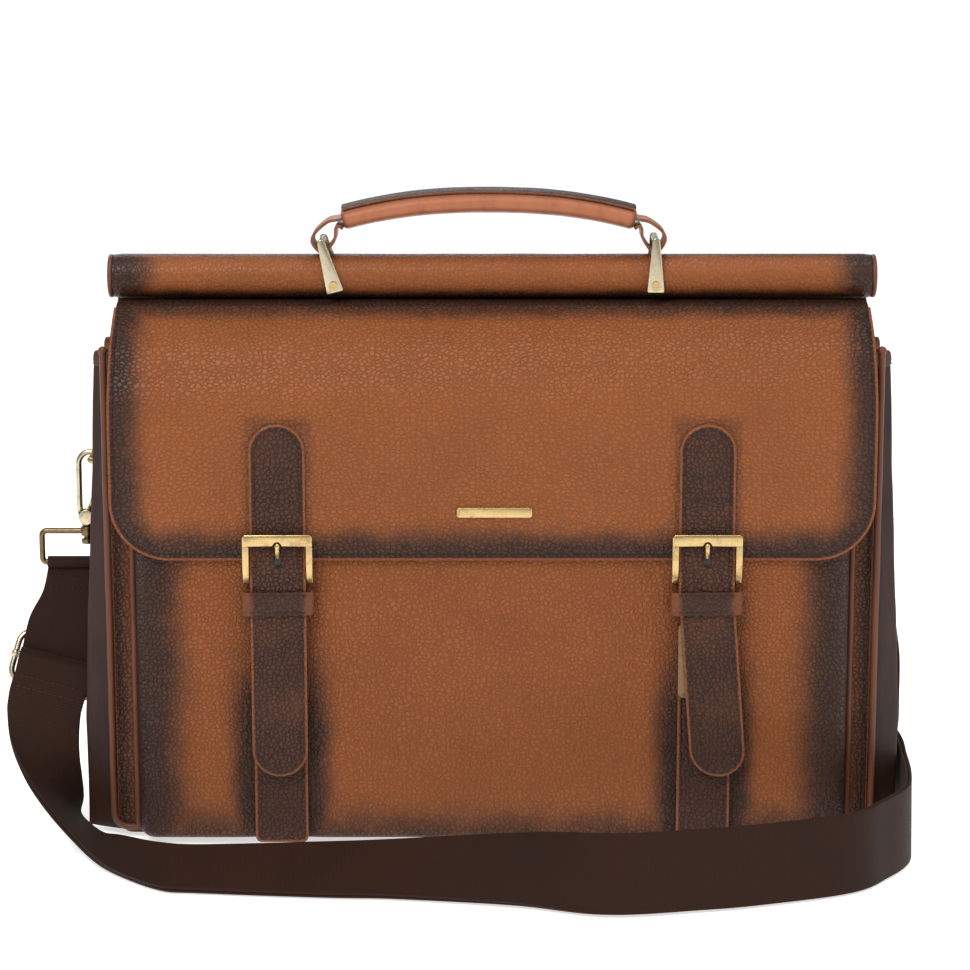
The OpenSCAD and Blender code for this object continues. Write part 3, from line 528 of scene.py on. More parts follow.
trim_hide = smooth_leather("trim_hide", srgb(100, 60, 42), srgb(56, 34, 26), 0.36, 0.25)
painted_edge = edge_paint("painted_edge", srgb(120, 66, 38))
dark_edge = edge_paint("dark_edge", srgb(70, 44, 32))
brass = metal("brushed_brass", srgb(198, 170, 118), srgb(118, 90, 46))
brass_bright = metal("pale_brass", srgb(196, 184, 156), srgb(112, 98, 74), (900, 900, 900), 0.22)
bronze = metal("dark_bronze", srgb(120, 98, 70), srgb(52, 40, 30), (800, 800, 800), 0.3)
webbing = woven_band("brown_webbing", srgb(50, 27, 16), srgb(25, 13, 8))
lining = cloth("sand_lining", srgb(178, 158, 130), srgb(120, 102, 80))
seam_thread = thread("dark_thread", srgb(32, 21, 17))
web_thread = thread("webbing_thread", srgb(48, 30, 25))
core_wood = wooden("core_wood", srgb(196, 162, 118), srgb(150, 112, 74))


# ---------- camera, light and floor ----------
def studio():
    scene = bpy.context.scene
    lens = bpy.data.cameras.new("camera")
    lens.lens = 112.27
    lens.sensor_width = 36
    lens.clip_end = 100
    camera = bpy.data.objects.new("camera", lens)
    camera.location = (-0.0036, -1.5, 0.48)
    camera.rotation_euler = (math.radians(78.5), 0, 0)
    scene.collection.objects.link(camera)
    scene.camera = camera
    world = bpy.data.worlds.new("studio")
    world.use_nodes = True
    nodes, links = world.node_tree.nodes, world.node_tree.links
    # the sky lights the bag softly, and the camera sees it as plain white
    lit, seen = nodes["Background"], nodes.new("ShaderNodeBackground")
    path, both = nodes.new("ShaderNodeLightPath"), nodes.new("ShaderNodeMixShader")
    for sky, strength in ((lit, 0.42), (seen, 1.0)):
        sky.inputs[0].default_value = (1, 1, 1, 1)
        sky.inputs[1].default_value = strength
    links.new(path.outputs["Is Camera Ray"], both.inputs[0])
    links.new(lit.outputs[0], both.inputs[1])
    links.new(seen.outputs[0], both.inputs[2])
    links.new(both.outputs[0], nodes["World Output"].inputs[0])
    scene.world = world
    scene.view_settings.view_transform = "Standard"
    for name, spot, aim, size, power in (
            ("key_light", (-0.9, -1.7, 1.9), (0, 0, 0.2), (1.2, 0.9), 36),
            ("top_light", (0.2, -0.3, 1.7), (0, 0, 0.2), (1.6, 0.5), 10),
            ("side_light", (1.6, -0.9, 0.9), (0, 0, 0.15), (0.5, 1.4), 9),
            ("back_light", (-0.4, 1.6, 1.2), (0, 0, 0.2), (1.4, 0.8), 8)):
        light = bpy.data.lights.new(name, "AREA")
        light.shape = "RECTANGLE"
        light.size, light.size_y = size
        light.energy = power
        lamp = bpy.data.objects.new(name, light)
        lamp.location = spot
        lamp.rotation_euler = (Vector(aim) - Vector(spot)).to_track_quat("-Z", "Y").to_euler()
        scene.collection.objects.link(lamp)
    bm = bmesh.new()
    bmesh.ops.create_grid(bm, x_segments=8, y_segments=8, size=30)
    mesh = bpy.data.meshes.new("floor")
    bm.to_mesh(mesh)
    bm.free()
    floor = bpy.data.objects.new("floor", mesh)
    mesh.transform(Matrix.Translation((0, 0, -0.0004)))
    m = Finish("floor_white")
    soft = m.noise(m.place(), 3.0)
    mesh.materials.append(m.shade(
        color=m.mix(soft, (0.93, 0.93, 0.93, 1), (0.96, 0.96, 0.96, 1)),
        rough=m.math("MULTIPLY_ADD", soft, 0.02, 0.16), spec=0.35,
        glow=(1, 1, 1, 1), glow_power=0.6))
    scene.collection.objects.link(floor)


studio()


# ---------- flap ----------
FLAP_LINE = Line(smooth_line([CREASE, (-23.3, 260), (-35.3, 251.5), (-42, 242.5), (-49.3, 231),
                              (-52.4, 216), (-52.6, 191), (-52.6, FLAP_LOW)]))


def flap_gap(u, v):
    return edge_gap(u, v, FLAP_HALF, FLAP_ABOVE, FLAP_LINE.length, 0, FLAP_ROUND)


def flap_surface(u, v):
    """Front of the flap from its flat cut: u across, v down from the fold."""
    gap = flap_gap(u, v)
    full = 1.8 + 0.5 * ease(0, 9, gap) - 0.35 * (1 - ease(0, 1.6, gap))
    folds = ease(44, 9, v) * ease(-2, 6, v)
    full += 0.38 * folds * wander(u, 3 * v, 4, 16) + 0.22 * folds * wander(u, 5 * v, 9, 9)
    full += 0.5 * wander(u, v, 0, 90) * ease(0, 20, gap)
    y, z = FLAP_LINE.side(v, -full)
    way = FLAP_LINE.way(v)
    return (u, y, z), (0, way[1], -way[0])


def flap_tint(u, v):
    gap = flap_gap(u, v)
    # painted shade under the rod: the flap darkens over its first 17 mm below the fold
    top = 0.75 * ease(17, 1, v)
    patch = 4 * wander(u, v, 7, 18)
    burnish_and_shade = ease(25 + patch, 2, min(FLAP_HALF - abs(u), 1.05 * (FLAP_LINE.length - v), gap * 1.15))
    for x in (-STRAP_X, STRAP_X):
        beside = max(abs(u - x) - STRAP_HALF, v - FLAP_LINE.length, FLAP_LINE.length - v - 68)
        burnish_and_shade = max(burnish_and_shade, 0.4 * ease(7, 0, beside))
    return max(burnish_and_shade, top), gap


def make_flap():
    length = FLAP_LINE.length

    def flat(a, b):
        return round_corner((2 * dense_ends(a) - 1) * FLAP_HALF, dense_ends(b, 0.3) * length,
                            FLAP_HALF, FLAP_ABOVE, length, 0, FLAP_ROUND)

    bm = cut_sheet(190, 76, flap_surface, flat, lambda a, b: flap_tint(*flat(a, b)))
    piece = make(face_to(bm, (0, -1, 0.3)), "flap_leather", "flap",
                 [hide_flap, painted_edge], ["flap"], 1.75, rounded=0.6)

    def inside(a, b):
        u, v = flat(a, b)
        u, v = u * 0.993, 0.4 + (v - 0.4) * 0.993
        y, z = FLAP_LINE.side(v, 0.1 - 0.1 * wander(u, v, 2, 25))
        return u, y, z
    bm = grid(96, 46, inside, lambda a, b: (a, b))
    piece = make(face_to(bm, (0, 1, -0.3)), "flap_lining_cloth", "flap", [lining],
                 ["flap_lining"], 0.8)

    bm = bmesh.new()
    low, side, r = length - PAINT_INSET, FLAP_HALF - PAINT_INSET, 26.4
    corner = [(side - r + r * math.cos(t), low - r + r * math.sin(t))
              for t in np.linspace(0, math.pi / 2, 14)]
    route = [(side, 4)] + corner + [(-x, y) for x, y in reversed(corner)] + [(-side, 4)]
    stitch_row(bm, flap_surface, route, 3.4, (1.15, 0.3, 0.3), -0.02)
    make(bm, "flap_stitches", "flap", [seam_thread])

    # the fold of leather between the rod and the flap, coloured almost fully dark as painted shade
    # under the rod
    fold = Line(smooth_line([(0.0, 268.4), (-4.5, 267.6), (-8.6, 267.0), CREASE, (-15.8, 263.8)]))

    def bend(a, b):
        y, z = fold.side(b * fold.length, -1.5 - 0.2 * wander(a * 375, b * 30, 1, 9))
        return (2 * a - 1) * 186.6, y, z
    # near-full darkening: painted shade under the rod
    bm = grid(150, 10, bend, None, lambda a, b: (0.95, NO_EDGE))
    piece = make(face_to(bm, (0, -1, 0)), "flap_fold", None,
                 [hide_flap, painted_edge], (), 1.4)
    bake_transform(piece)

    # plain brass bar in the middle of the flap
    bm = bmesh.new()
    bar_of(bm, plate(16.9, -1.5, 1.5, 1.6, 1.0, 3), -54.5, -56.1,
           lambda p, q, y: (p + 1, y, q + 172.3), 0.35, 3)
    make(bm, "badge_bar", "flap", [brass], ["badge_plate"])


# ---------- front pocket ----------
def pocket_plan(s, z):
    """Point of the pocket's wall: s along it from the left, z up, with its outward way."""
    side, r = 10.0, 9.0
    front = 2 * (POCKET_HALF - r)
    arc = r * math.pi / 2
    lean = 1.8 * ease(40, 3, z) + 4 * ease(165, POCKET_TOP, z)
    if s < side:
        return (-POCKET_HALF, PANEL_Y - s * (side - lean) / side), (-1, 0)
    s -= side
    if s < arc:
        t = math.pi + s / r
        return (-POCKET_HALF + r + r * math.cos(t), FRONT_Y + lean + r + r * math.sin(t)), \
            (math.cos(t), math.sin(t))
    s -= arc
    if s < front:
        x = -POCKET_HALF + r + s
        return (x, FRONT_Y + lean), (0, -1)
    s -= front
    if s < arc:
        t = 1.5 * math.pi + s / r
        return (POCKET_HALF - r + r * math.cos(t), FRONT_Y + lean + r + r * math.sin(t)), \
            (math.cos(t), math.sin(t))
    s -= arc
    return (POCKET_HALF, FRONT_Y + lean + r + s * (side - lean) / side), (1, 0)


POCKET_RUN = 2 * 10 + 9 * math.pi + 2 * (POCKET_HALF - 9)


def pocket_wall(a, b):
    s = POCKET_RUN * (0.5 - 0.5 * math.cos(math.pi * a)) * 0.4 + POCKET_RUN * a * 0.6
    height = b * (POCKET_TOP + 2)
    z = max(height - 2, 0)
    (x, y), (ox, oy) = pocket_plan(s, 3 + z)
    turn = min(1.0, height / 6.0)
    under = 4.5 * (1 - math.sin(turn * math.pi / 2))
    low = 3 + 4.5 * (1 - math.cos(turn * math.pi / 2)) if turn < 1 else 3 + z
    middle = max(0, 1 - (x / POCKET_HALF) ** 2)
    full = 1.1 * middle * ease(3, 50, z) * ease(225, 130, z) + 0.5 * wander(x, z, 3, 70) \
        + 0.3 * wander(x, z, 8, 28) * ease(10, 40, z)
    for strap in (-STRAP_X, STRAP_X):
        full -= 0.9 * ease(26, 10, abs(x - strap)) * ease(170, 110, z)
    full -= 0.5 * ease(4, 0, abs(abs(x) - POCKET_HALF + 4)) * ease(0.5, 0.2, abs(oy))
    out = full * (1 if oy < -0.5 else 0.3) - under
    return x + ox * out, y + oy * out, low


def pocket_tint(a, b):
    x, y, z = pocket_wall(a, b)
    patch = 5 * wander(x, z, 5, 24)
    side = POCKET_HALF - abs(x)
    burnish_and_shade = ease(38 + patch, 6, side)
    burnish_and_shade = max(burnish_and_shade, 0.8 * ease(30 + patch, 1, z))
    for strap in (-STRAP_X, STRAP_X):
        beside = abs(x - strap) - STRAP_HALF
        burnish_and_shade = max(burnish_and_shade, ease(19 + patch * 0.6, 0, beside) * ease(135, 50, z))
        burnish_and_shade = max(burnish_and_shade, 0.35 * ease(12, 0, beside) * ease(160, 130, z))
    # painted shade under the flap: the pocket darkens from 138 mm up to its top
    under = 0.3 * ease(138, FLAP_LOW + 22, z)
    return max(burnish_and_shade, under), NO_EDGE


def make_pocket():
    bm = grid(210, 110, pocket_wall, lambda a, b: (a * POCKET_RUN / 1000, b * 0.226), pocket_tint)
    make(face_to(bm, (0, -1, 0)), "pocket_leather", "bag", [hide, painted_edge],
         ["front_pocket"], 1.9, rounded=0.5)
    bm = bmesh.new()
    for s in (-1, 1):
        x = s * (POCKET_HALF + 2.1)
        wire(bm, [(x + 0.12 * wander(0, z, s, 20), PANEL_Y - 1.9, z)
                  for z in np.linspace(4, 223, 60)], 1.7, sides=12)
    make(bm, "pocket_side_piping", "bag", [trim_hide], ["pocket_piping"])

    def binding(a, b):
        s = POCKET_RUN * a
        (x, y), (ox, oy) = pocket_plan(s, POCKET_TOP)
        t = math.pi * b
        out = 1.4 * math.cos(t) - 0.6
        return x + ox * out, y + oy * out, POCKET_TOP - 0.6 + 3.4 * math.sin(t) ** 0.7
    bm = grid(200, 10, binding, None, lambda a, b: (0.8, NO_EDGE))
    make(face_to(bm, (0, -1, 0)), "pocket_top_binding", "bag",
         [trim_hide, dark_edge], ["pocket_binding"], 0.7)


# ---------- panels and gussets ----------
def make_panels():
    low, high = 3.0, MOUTH_Z

    def spread(a, b):
        return round_corner((2 * dense_ends(a) - 1) * PANEL_HALF,
                            low + dense_ends(b, 0.3) * (high - low),
                            PANEL_HALF, low, high, 4, 4)

    def front(a, b):
        u, v = spread(a, b)
        gap = edge_gap(u, v, PANEL_HALF, low, high, 4, 4)
        return u, PANEL_Y - 0.3 * ease(0, 3, gap) + 0.25 * wander(u, v, 6, 60), v

    def tint(a, b):
        u, v = spread(a, b)
        gap = edge_gap(u, v, PANEL_HALF, low, high, 4, 4)
        return 0.55 + 0.4 * ease(9, 2, PANEL_HALF - abs(u)), gap
    bm = grid(120, 70, front, lambda a, b: (a * 0.379, b * 0.243), tint)
    make(face_to(bm, (0, -1, 0)), "front_wall_leather", "bag",
         [hide, painted_edge], ["front_panel"], 1.6, rounded=0.5)

    bm = grid(60, 40, lambda a, b: (spread(a, b)[0] * 0.985, PANEL_Y + 2.6
                                    + 0.1 * wander(a * 379, b * 243, 3, 30),
                                    spread(a, b)[1] - 0.6), None)
    piece = make(face_to(bm, (0, 1, 0)), "front_wall_lining", "bag", [lining], (), 0.7)

    back = Line(smooth_line([(48.6, 3), (49, 24), (48.5, 120.8), (46, 190), (41, 222), (31, 250),
                             (22, 265), (11.4, 271.2)]))

    def back_at(a, b, off):
        v = dense_ends(b, 0.3) * back.length
        u = (2 * dense_ends(a) - 1) * PANEL_HALF
        u, v = round_corner(u, v, PANEL_HALF, 0, back.length, 4, 0)
        gap = edge_gap(u, v, PANEL_HALF, 0, back.length + 60, 4)
        sag = 0.9 * wander(u, v, 11, 80) * ease(0, 25, gap) + 0.5 * ease(0, 6, gap)
        y, z = back.side(v, off - (sag if off < 0 else 0.0))
        return (u, y, z), gap, v

    def back_tint(a, b):
        (u, y, z), gap, v = back_at(a, b, -1.0)
        patch = 5 * wander(u, v, 15, 22)
        burnish_and_shade = max(ease(24 + patch, 4, min(gap, PANEL_HALF - abs(u))),
                   0.75 * ease(back.length - 30, back.length - 6, v))
        return burnish_and_shade, gap
    bm = grid(150, 96, lambda a, b: back_at(a, b, -1.1)[0],
              lambda a, b: (a * 0.379, b * back.length / 1000), back_tint)
    make(face_to(bm, (0, 1, 0)), "back_wall_leather", "bag",
         [hide, painted_edge], ["back_panel"], 1.6, rounded=0.5)
    bm = grid(60, 50, lambda a, b: back_at(a, b * 0.96, 1.3)[0], None)
    piece = make(face_to(bm, (0, -1, 0)), "back_wall_lining", "bag", [lining], (), 0.7)

    bm = bmesh.new()
    bar_of(bm, plate(181.5, -25.2, 33.9, 6, 6, 4), 0.0, 2.9, lambda p, q, z: (p, q + 4, z),
           0.9, 3)
    make(bm, "base_leather", "bag", [hide_dark], ["base_panel"])

    for side, name in ((-1, "left"), (1, "right")):
        make_gusset(side, name)
    piping = []
    back_y, back_z = (np.array([p[k] for p in back.points]) for k in (0, 1))
    for y, top, name, node in ((-33.0, 248.6, "front", "piping_front"),
                               (49.4, 224.6, "back", "piping_back")):
        bm = bmesh.new()
        x, low_z = PANEL_HALF + 1.7, 4.9
        route = [(x, y, top)] + [(x, y, z) for z in np.linspace(top - 4, low_z + 8, 40)]
        route += [(x - 8 + 8 * math.cos(t), y, low_z + 8 - 8 * math.sin(t))
                  for t in np.linspace(0.2, math.pi / 2, 7)]
        lean = [0.0 if name == "front" else np.interp(p[2], back_z, back_y) - back_y[0]
                for p in route]
        route = [(p[0] + 0.15 * wander(0, p[2], 3, 25), p[1] + turn, p[2])
                 for p, turn in zip(route, lean)]
        wire(bm, route + [(-p[0], p[1], p[2]) for p in reversed(route)], 1.75, sides=12)
        for s in (-1, 1):
            bmesh.ops.create_uvsphere(bm, u_segments=16, v_segments=10, radius=2.35,
                                      matrix=Matrix.Translation((s * x, y + lean[0], top)))
        piping.append(make(bm, "piping_" + name + "_cord", "bag", [trim_hide],
                           [node]))


def make_gusset(side, name):
    def plan(ridge, back):
        hind = min(38, back - 8)
        return Line(smooth_line([(188.0, PANEL_Y + 1.4), (ridge - 3, -24.4), (ridge + 0.6, -21.6),
                                 (ridge - 3.5, -17.5), (188, -13), (182.4, -2),
                                 (182.2, hind - 24), (187.5, hind - 10), (ridge - 3.5, hind - 4.2),
                                 (ridge + 0.6, hind), (ridge - 3, hind + 3),
                                 (188.0, back - 0.8)], 5))
    heights = (3.2, 60.0, 130.0, 190.0, 222.0, MOUTH_Z)
    plans = [plan(205.0 - 8.8 * max(0, z - 60) / (MOUTH_Z - 60), inner)
             for z, inner in zip(heights, (46.2, 46.8, 46.0, 43.6, 38.8, 30.5))]
    wide, narrow = plans[0], plans[-1]

    def wall(a, b):
        z = 3.2 + b * (MOUTH_Z - 3.2)
        k = max(0, min(4, sum(z >= h for h in heights) - 1))
        t = min(1, (z - heights[k]) / (heights[k + 1] - heights[k]))
        p = plans[k].at(a * plans[k].length) * (1 - t) \
            + plans[k + 1].at(a * plans[k + 1].length) * t
        soft = ease(0, 12, z) * ease(0, 0.08, a) * ease(1, 0.92, a)
        x = p[0] + soft * (0.9 * wander(p[1], z, side * 9, 60) + 0.35 * wander(p[1], z, 3, 18))
        return side * min(x, 206.2), p[1], z

    def tint(a, b):
        x, y, z = wall(a, b)
        # painted highlight on the outer ridges and painted shade in the folds inside them
        ridge = ease(186, 203, abs(x))
        return 0.85 - 0.75 * ridge + 0.25 * wander(y, z, 5, 14), NO_EDGE
    bm = grid(110, 80, wall, lambda a, b: (a * wide.length / 1000, b * 0.243), tint)
    make(face_to(bm, (side, 0, 0)), "gusset_" + name + "_leather", "bag",
         [gusset_hide, dark_edge], ["gusset_" + name], 1.6, rounded=0.4)

    def bound(a, b):
        p = narrow.side(a * narrow.length, 0)
        way = narrow.way(a * narrow.length)
        t = 2 * math.pi * b
        out = 0.75 + 1.5 * math.cos(t)
        return (side * (p[0] + way[1] * (out - 1.5)), p[1] - way[0] * (out - 1.5),
                MOUTH_Z - 3.2 + 4.4 * math.sin(t))
    bm = grid(110, 14, bound, None, lambda a, b: (0.6, NO_EDGE), close=True)
    make(bm, "gusset_" + name + "_binding", "bag", [trim_hide])
    bm = bmesh.new()

    def rim(u, v):
        p, way = narrow.at(u), narrow.way(u)
        return (side * (p[0] + way[1] * 0.72), p[1] - way[0] * 0.72, v), (side * way[1], -way[0], 0)
    stitch_row(bm, rim, [(4, MOUTH_Z - 5.2), (narrow.length - 4, MOUTH_Z - 5.2)], 3.2,
               (1.05, 0.28, 0.28), 0.1)
    make(bm, "gusset_" + name + "_stitches", "bag", [seam_thread])


def make_inside():
    for name, node, y, half, low, high in (
            ("divider_cloth", "centre_divider", 8.0, 178.8, 6.4, 225.0),
            ("organiser_cloth", "organiser_pocket", 43.7, 125.0, 14.2, 137.5)):
        def wall(a, b, y=y, half=half, low=low, high=high):
            u, v = round_corner((2 * a - 1) * half, low + b * (high - low), half, low, high, 6, 6)
            return u, y + 0.5 * wander(u, v, y, 60), v
        bm = grid(72, 48, wall, None)
        piece = make(face_to(bm, (0, -1, 0)), name, "bag", [lining], [node], 1.8, 0.0,
                     rounded=0.5)
        bm = bmesh.new()
        top = high - 0.6
        wire(bm, [(x, y, top) for x in np.linspace(-half + 5, half - 5, 40)], 1.15, sides=12)
        make(bm, name.replace("cloth", "top_cord"), "bag", [trim_hide])


# ---------- rod ----------
def make_rod():
    def skin(a, b):
        x = (2 * dense_ends(a, 0.4) - 1) * (ROD_HALF - 1.6)
        t = 2 * math.pi * b
        r = ROD_R - 0.45 * (1 - ease(0, 4, ROD_HALF - 1.6 - abs(x))) \
            + 0.16 * wander(x, 9 * t, 2, 28)
        return x, ROD.y + r * math.sin(t), ROD.z - r * math.cos(t)

    def tint(a, b):
        x, y, z = skin(a, b)
        patch = 5 * wander(x, z, 1, 14)
        burnish_and_shade = ease(30 + patch, 5, ROD_HALF - abs(x))
        # painted shade: the rod's underside is darkened
        low = ease(-3.5, -10, z - ROD.z + 0.2 * patch)
        top = 0.85 * ease(5.2, 10.4, z - ROD.z + 0.25 * patch) * ease(-6, 2, y - ROD.y + 2)
        return max(burnish_and_shade, low, top, 0.65 * ease(0, 8, y - ROD.y)), NO_EDGE
    bm = grid(170, 48, skin, lambda a, b: (a * 0.38, b * 0.069), tint, close=True)
    make(bm, "rod_leather", "bag", [hide_rod], ["rod_cover"])
    bm = bmesh.new()
    for s in (-1, 1):
        disc = bmesh.new()
        bmesh.ops.create_circle(disc, cap_ends=True, radius=ROD_R - 0.15, segments=48)
        grown = bmesh.ops.extrude_face_region(disc, geom=list(disc.faces))["geom"]
        bmesh.ops.translate(disc, verts=[v for v in grown if isinstance(v, bmesh.types.BMVert)],
                            vec=(0, 0, 2.2))
        bmesh.ops.recalc_face_normals(disc, faces=disc.faces)
        rims = [e for e in disc.edges if e.calc_face_angle(0) > 1]
        bmesh.ops.bevel(disc, geom=rims, offset=0.9, segments=3, profile=0.5, affect="EDGES",
                        material=-1)
        turn = Matrix.Translation((s * (ROD_HALF - 0.3 - 1.6 + 0.6), ROD.y, ROD.z)) \
            @ Matrix.Rotation(math.radians(90 * s), 4, "Y")
        bmesh.ops.transform(disc, verts=disc.verts, matrix=turn)
        scrap = bpy.data.meshes.new("disc")
        disc.to_mesh(scrap)
        disc.free()
        bm.from_mesh(scrap)
        bpy.data.meshes.remove(scrap)
    make(bm, "rod_end_discs", "bag", [trim_hide], ["rod_caps"])


# ---------- straps ----------
TAIL_LINE = Line(smooth_line([(-54.42, STRAP_TOP), (-54.42, 172), (-54.72, 160), (-56.6, 149),
                              (-56.4, 136), (-56.4, 104), (-56.4, TAIL_LOW)]))


def strap_surface(side, lean):
    def surface(u, v):
        gap = edge_gap(u, v, STRAP_HALF, 0, TAIL_LINE.length, STRAP_HALF, STRAP_HALF)
        full = STRAP_T - 0.35 + 0.45 * ease(0, 4, gap) - 0.45 * (1 - ease(0, 1.5, gap)) \
            + 0.14 * wander(u, v, side * 4, 16)
        y, z = TAIL_LINE.side(v, -full)
        way = TAIL_LINE.way(v)
        shift = math.tan(math.radians(lean)) * max(0, 132 - z)
        return (side * STRAP_X + u + shift, y, z), (0, way[1], -way[0])
    return surface


def make_strap(side, name, lean):
    surface = strap_surface(side, lean)
    length = TAIL_LINE.length

    def flat(a, b):
        return round_corner((2 * dense_ends(a, 0.5) - 1) * STRAP_HALF,
                            dense_ends(b, 0.4) * length, STRAP_HALF, 0, length,
                            STRAP_HALF, STRAP_HALF)

    def tint(a, b):
        u, v = flat(a, b)
        gap = edge_gap(u, v, STRAP_HALF, 0, length, STRAP_HALF, STRAP_HALF)
        return 0.8 + 0.3 * wander(u, v, side * 3, 22), gap
    bm = cut_sheet(34, 130, surface, flat, tint)
    make(face_to(bm, (0, -1, 0)), "strap_" + name + "_leather", "flap",
         [hide_strap, painted_edge], ["flap_strap_" + name], STRAP_T - 0.3, rounded=0.5)
    bm = bmesh.new()
    inset = STRAP_HALF - 2.3
    top = [(-inset, 46), (-inset, 40)] + [
        (inset * math.cos(t), STRAP_HALF + inset * math.sin(t))
        for t in np.linspace(math.pi, 2 * math.pi, 18)] + [(inset, 40), (inset, 46)]
    stitch_row(bm, surface, top, 2.7, (0.95, 0.3, 0.3), 0.0)
    stitch_row(bm, surface, [(-inset + 1, 37.7), (inset - 1, 37.7)], 2.7, (0.95, 0.3, 0.3), 0.0)
    tail = [(-inset, 92)] + [(inset * math.cos(t), length - STRAP_HALF + inset * math.sin(t))
                             for t in np.linspace(math.pi, 0, 18)] + [(inset, 92)]
    stitch_row(bm, surface, tail, 2.7, (0.95, 0.22, 0.2), -0.12)
    make(bm, "strap_" + name + "_stitches", "flap", [seam_thread])
    # dark plate with the painted shadow of the hole that the prong passes through
    bm = bmesh.new()
    hole = [(2.2 * math.cos(t), 149.2 + 3.2 * math.sin(t) - (0.0 if math.sin(t) > 0 else 0.6))
            for t in np.linspace(0, 2 * math.pi, 21)[:-1]]
    bar_of(bm, hole, -58.6, -59.35, lambda p, q, y: (side * STRAP_X + p, y, q), 0.0)
    make(bm, "strap_" + name + "_hole", "flap", [hole_shadow_paint])
    # keeper: a band round the strap
    cx, cy, w, d = side * STRAP_X, -57.6, 34.6, 6.6
    square = 5.0           # how square its section is; 2 would be round

    def band(a, b):
        t = 2 * math.pi * a
        c, s = math.cos(t), math.sin(t)
        k = (abs(c) ** square + abs(s) ** square) ** (-1 / square)
        swell = 0.35 * (1 - (2 * b - 1) ** 4)
        return cx + (w / 2 + swell) * k * c, cy + (d / 2 + swell) * k * s, \
            121.8 + 11.6 * b + 0.25 * c

    def band_tint(a, b):
        x = band(a, b)[0] - cx
        return 0.95 * ease(15.5, 10.5, abs(x) + 1.2 * wander(x, b * 12, side, 6)), NO_EDGE
    bm = grid(96, 14, band, lambda a, b: (a * 0.08, b * 0.0116), band_tint, close=True)
    make(bm, "keeper_" + name + "_band", "flap",
         [keeper_hide, painted_edge], ["keeper_" + name], 1.4, rounded=0.35)
    bm = bmesh.new()

    def face(u, v):
        return (cx + u, cy - d / 2 - 0.35, v), (0, -1, 0)
    for z in (132.0, 123.4):
        stitch_row(bm, face, [(-14, z), (14, z)], 2.7, (1.0, 0.22, 0.22), 0.02)
    make(bm, "keeper_" + name + "_stitches", "flap", [seam_thread])

    # short strap that the tail closes on
    def lower_gap(u, v):
        return edge_gap(u, v, LOWER_HALF, *LOWER_ENDS, LOWER_ROUND, LOWER_ROUND)

    def lower(u, v):
        gap = lower_gap(u, v)
        return (side * STRAP_X + u, -52.05 - 0.35 * ease(0, 3, gap), v), (0, -1, 0)

    def low_flat(a, b):
        low, high = LOWER_ENDS
        return round_corner((2 * dense_ends(a, 0.5) - 1) * LOWER_HALF, low + b * (high - low),
                            LOWER_HALF, low, high, LOWER_ROUND, LOWER_ROUND)
    bm = cut_sheet(30, 70, lower, low_flat, lambda a, b: (0.9, lower_gap(*low_flat(a, b))))
    make(face_to(bm, (0, -1, 0)), "lower_strap_" + name + "_leather", "bag",
         [hide_strap, painted_edge], ["lower_strap_" + name], 1.9, rounded=0.45)


def make_buckle(side, name):
    cx = side * STRAP_X
    bm = bmesh.new()
    top, low, face, back = BUCKLE_TOP, BUCKLE_TOP - 6.0, BUCKLE_FACE, STRAP_FRONT - 0.5
    notch = [(2.1 * math.cos(t), low + 2.3 * math.sin(t)) for t in np.linspace(0.1, 3.04, 9)]
    bridge = [(17.2, low), (17.2, top - 1.2), (16, top), (-16, top), (-17.2, top - 1.2),
              (-17.2, low)] + list(reversed(notch))
    bar_of(bm, bridge, face, back, lambda p, q, y: (cx + p, y, q), 0.55, 3)
    for s in (-1, 1):
        cheek = [(face + 0.1, low + 0.4), (back, low + 0.4), (STRAP_FRONT + 1.0, 150.5),
                 (-51.4, 146.5), (-51.3, 142), (-52.3, 137.6), (-54.6, 136.0), (-57.4, 137.4),
                 (-59.6, 141.5), (-60.9, 147)]
        bar_of(bm, cheek, s * 17.2, s * 13.9, lambda p, q, x: (cx + x, p, q), 0.5, 3)
    wire(bm, [(cx - 16.6, BAR.y, BAR.z), (cx + 16.6, BAR.y, BAR.z)], 1.3, sides=20)
    make(bm, "buckle_" + name + "_frame", "flap", [brass], ["buckle_" + name])
    bm = bmesh.new()
    route = smooth_line([(cx, BAR.y - 1.9, BAR.z + 1.0), (cx, BAR.y - 4.0, BAR.z + 5.4),
                         (cx, BAR.y - 6.6, BAR.z + 9.4), (cx, BAR.y - 7.4, BAR.z + 12.4)], 6)
    wire(bm, route, 1.35, sides=20)
    bmesh.ops.create_uvsphere(bm, u_segments=20, v_segments=12, radius=1.42,
                              matrix=Matrix.Translation(route[-1])
                              @ Matrix.Diagonal((1, 1, 1.25, 1)))
    ring = frame_points(5.2, 5.2, 2.59, lambda p, q: (cx, BAR.y + p * 0.72, BAR.z + q * 0.72), 5)
    for shift in (0.0, -0.7, 0.7):
        wire(bm, [(p[0] + shift, p[1], p[2]) for p in ring], 0.62, closed=True, sides=12)
    make(bm, "prong_" + name + "_tongue", "prong_" + name, [brass], ["prong_" + name])


# painted shadow colour for the prong holes
hole_shadow_paint = edge_paint("hole_shadow", srgb(26, 18, 15))
keeper_hide = pebbled("keeper_leather", srgb(112, 64, 38), srgb(66, 40, 28), 1.9, 0.3, 0.38)
make_flap()
make_pocket()
make_panels()
make_inside()
make_rod()
for strap_side, strap_name, strap_lean in ((-1, "left", 0.0), (1, "right", 4.5)):
    make_strap(strap_side, strap_name, strap_lean)
    make_buckle(strap_side, strap_name)


# ---------- handle ----------
LEFT_BAR = (-84.733, 298.793)
RIGHT_BAR = (81.2, 299.6)
SCREW_Z = 277.4
LEAN = math.radians(15.5)
GRIP_MID = -1.766
GRIP_HALF = 76.5
GRIP_Z = 308.2
GRIP_RISE = 10.0


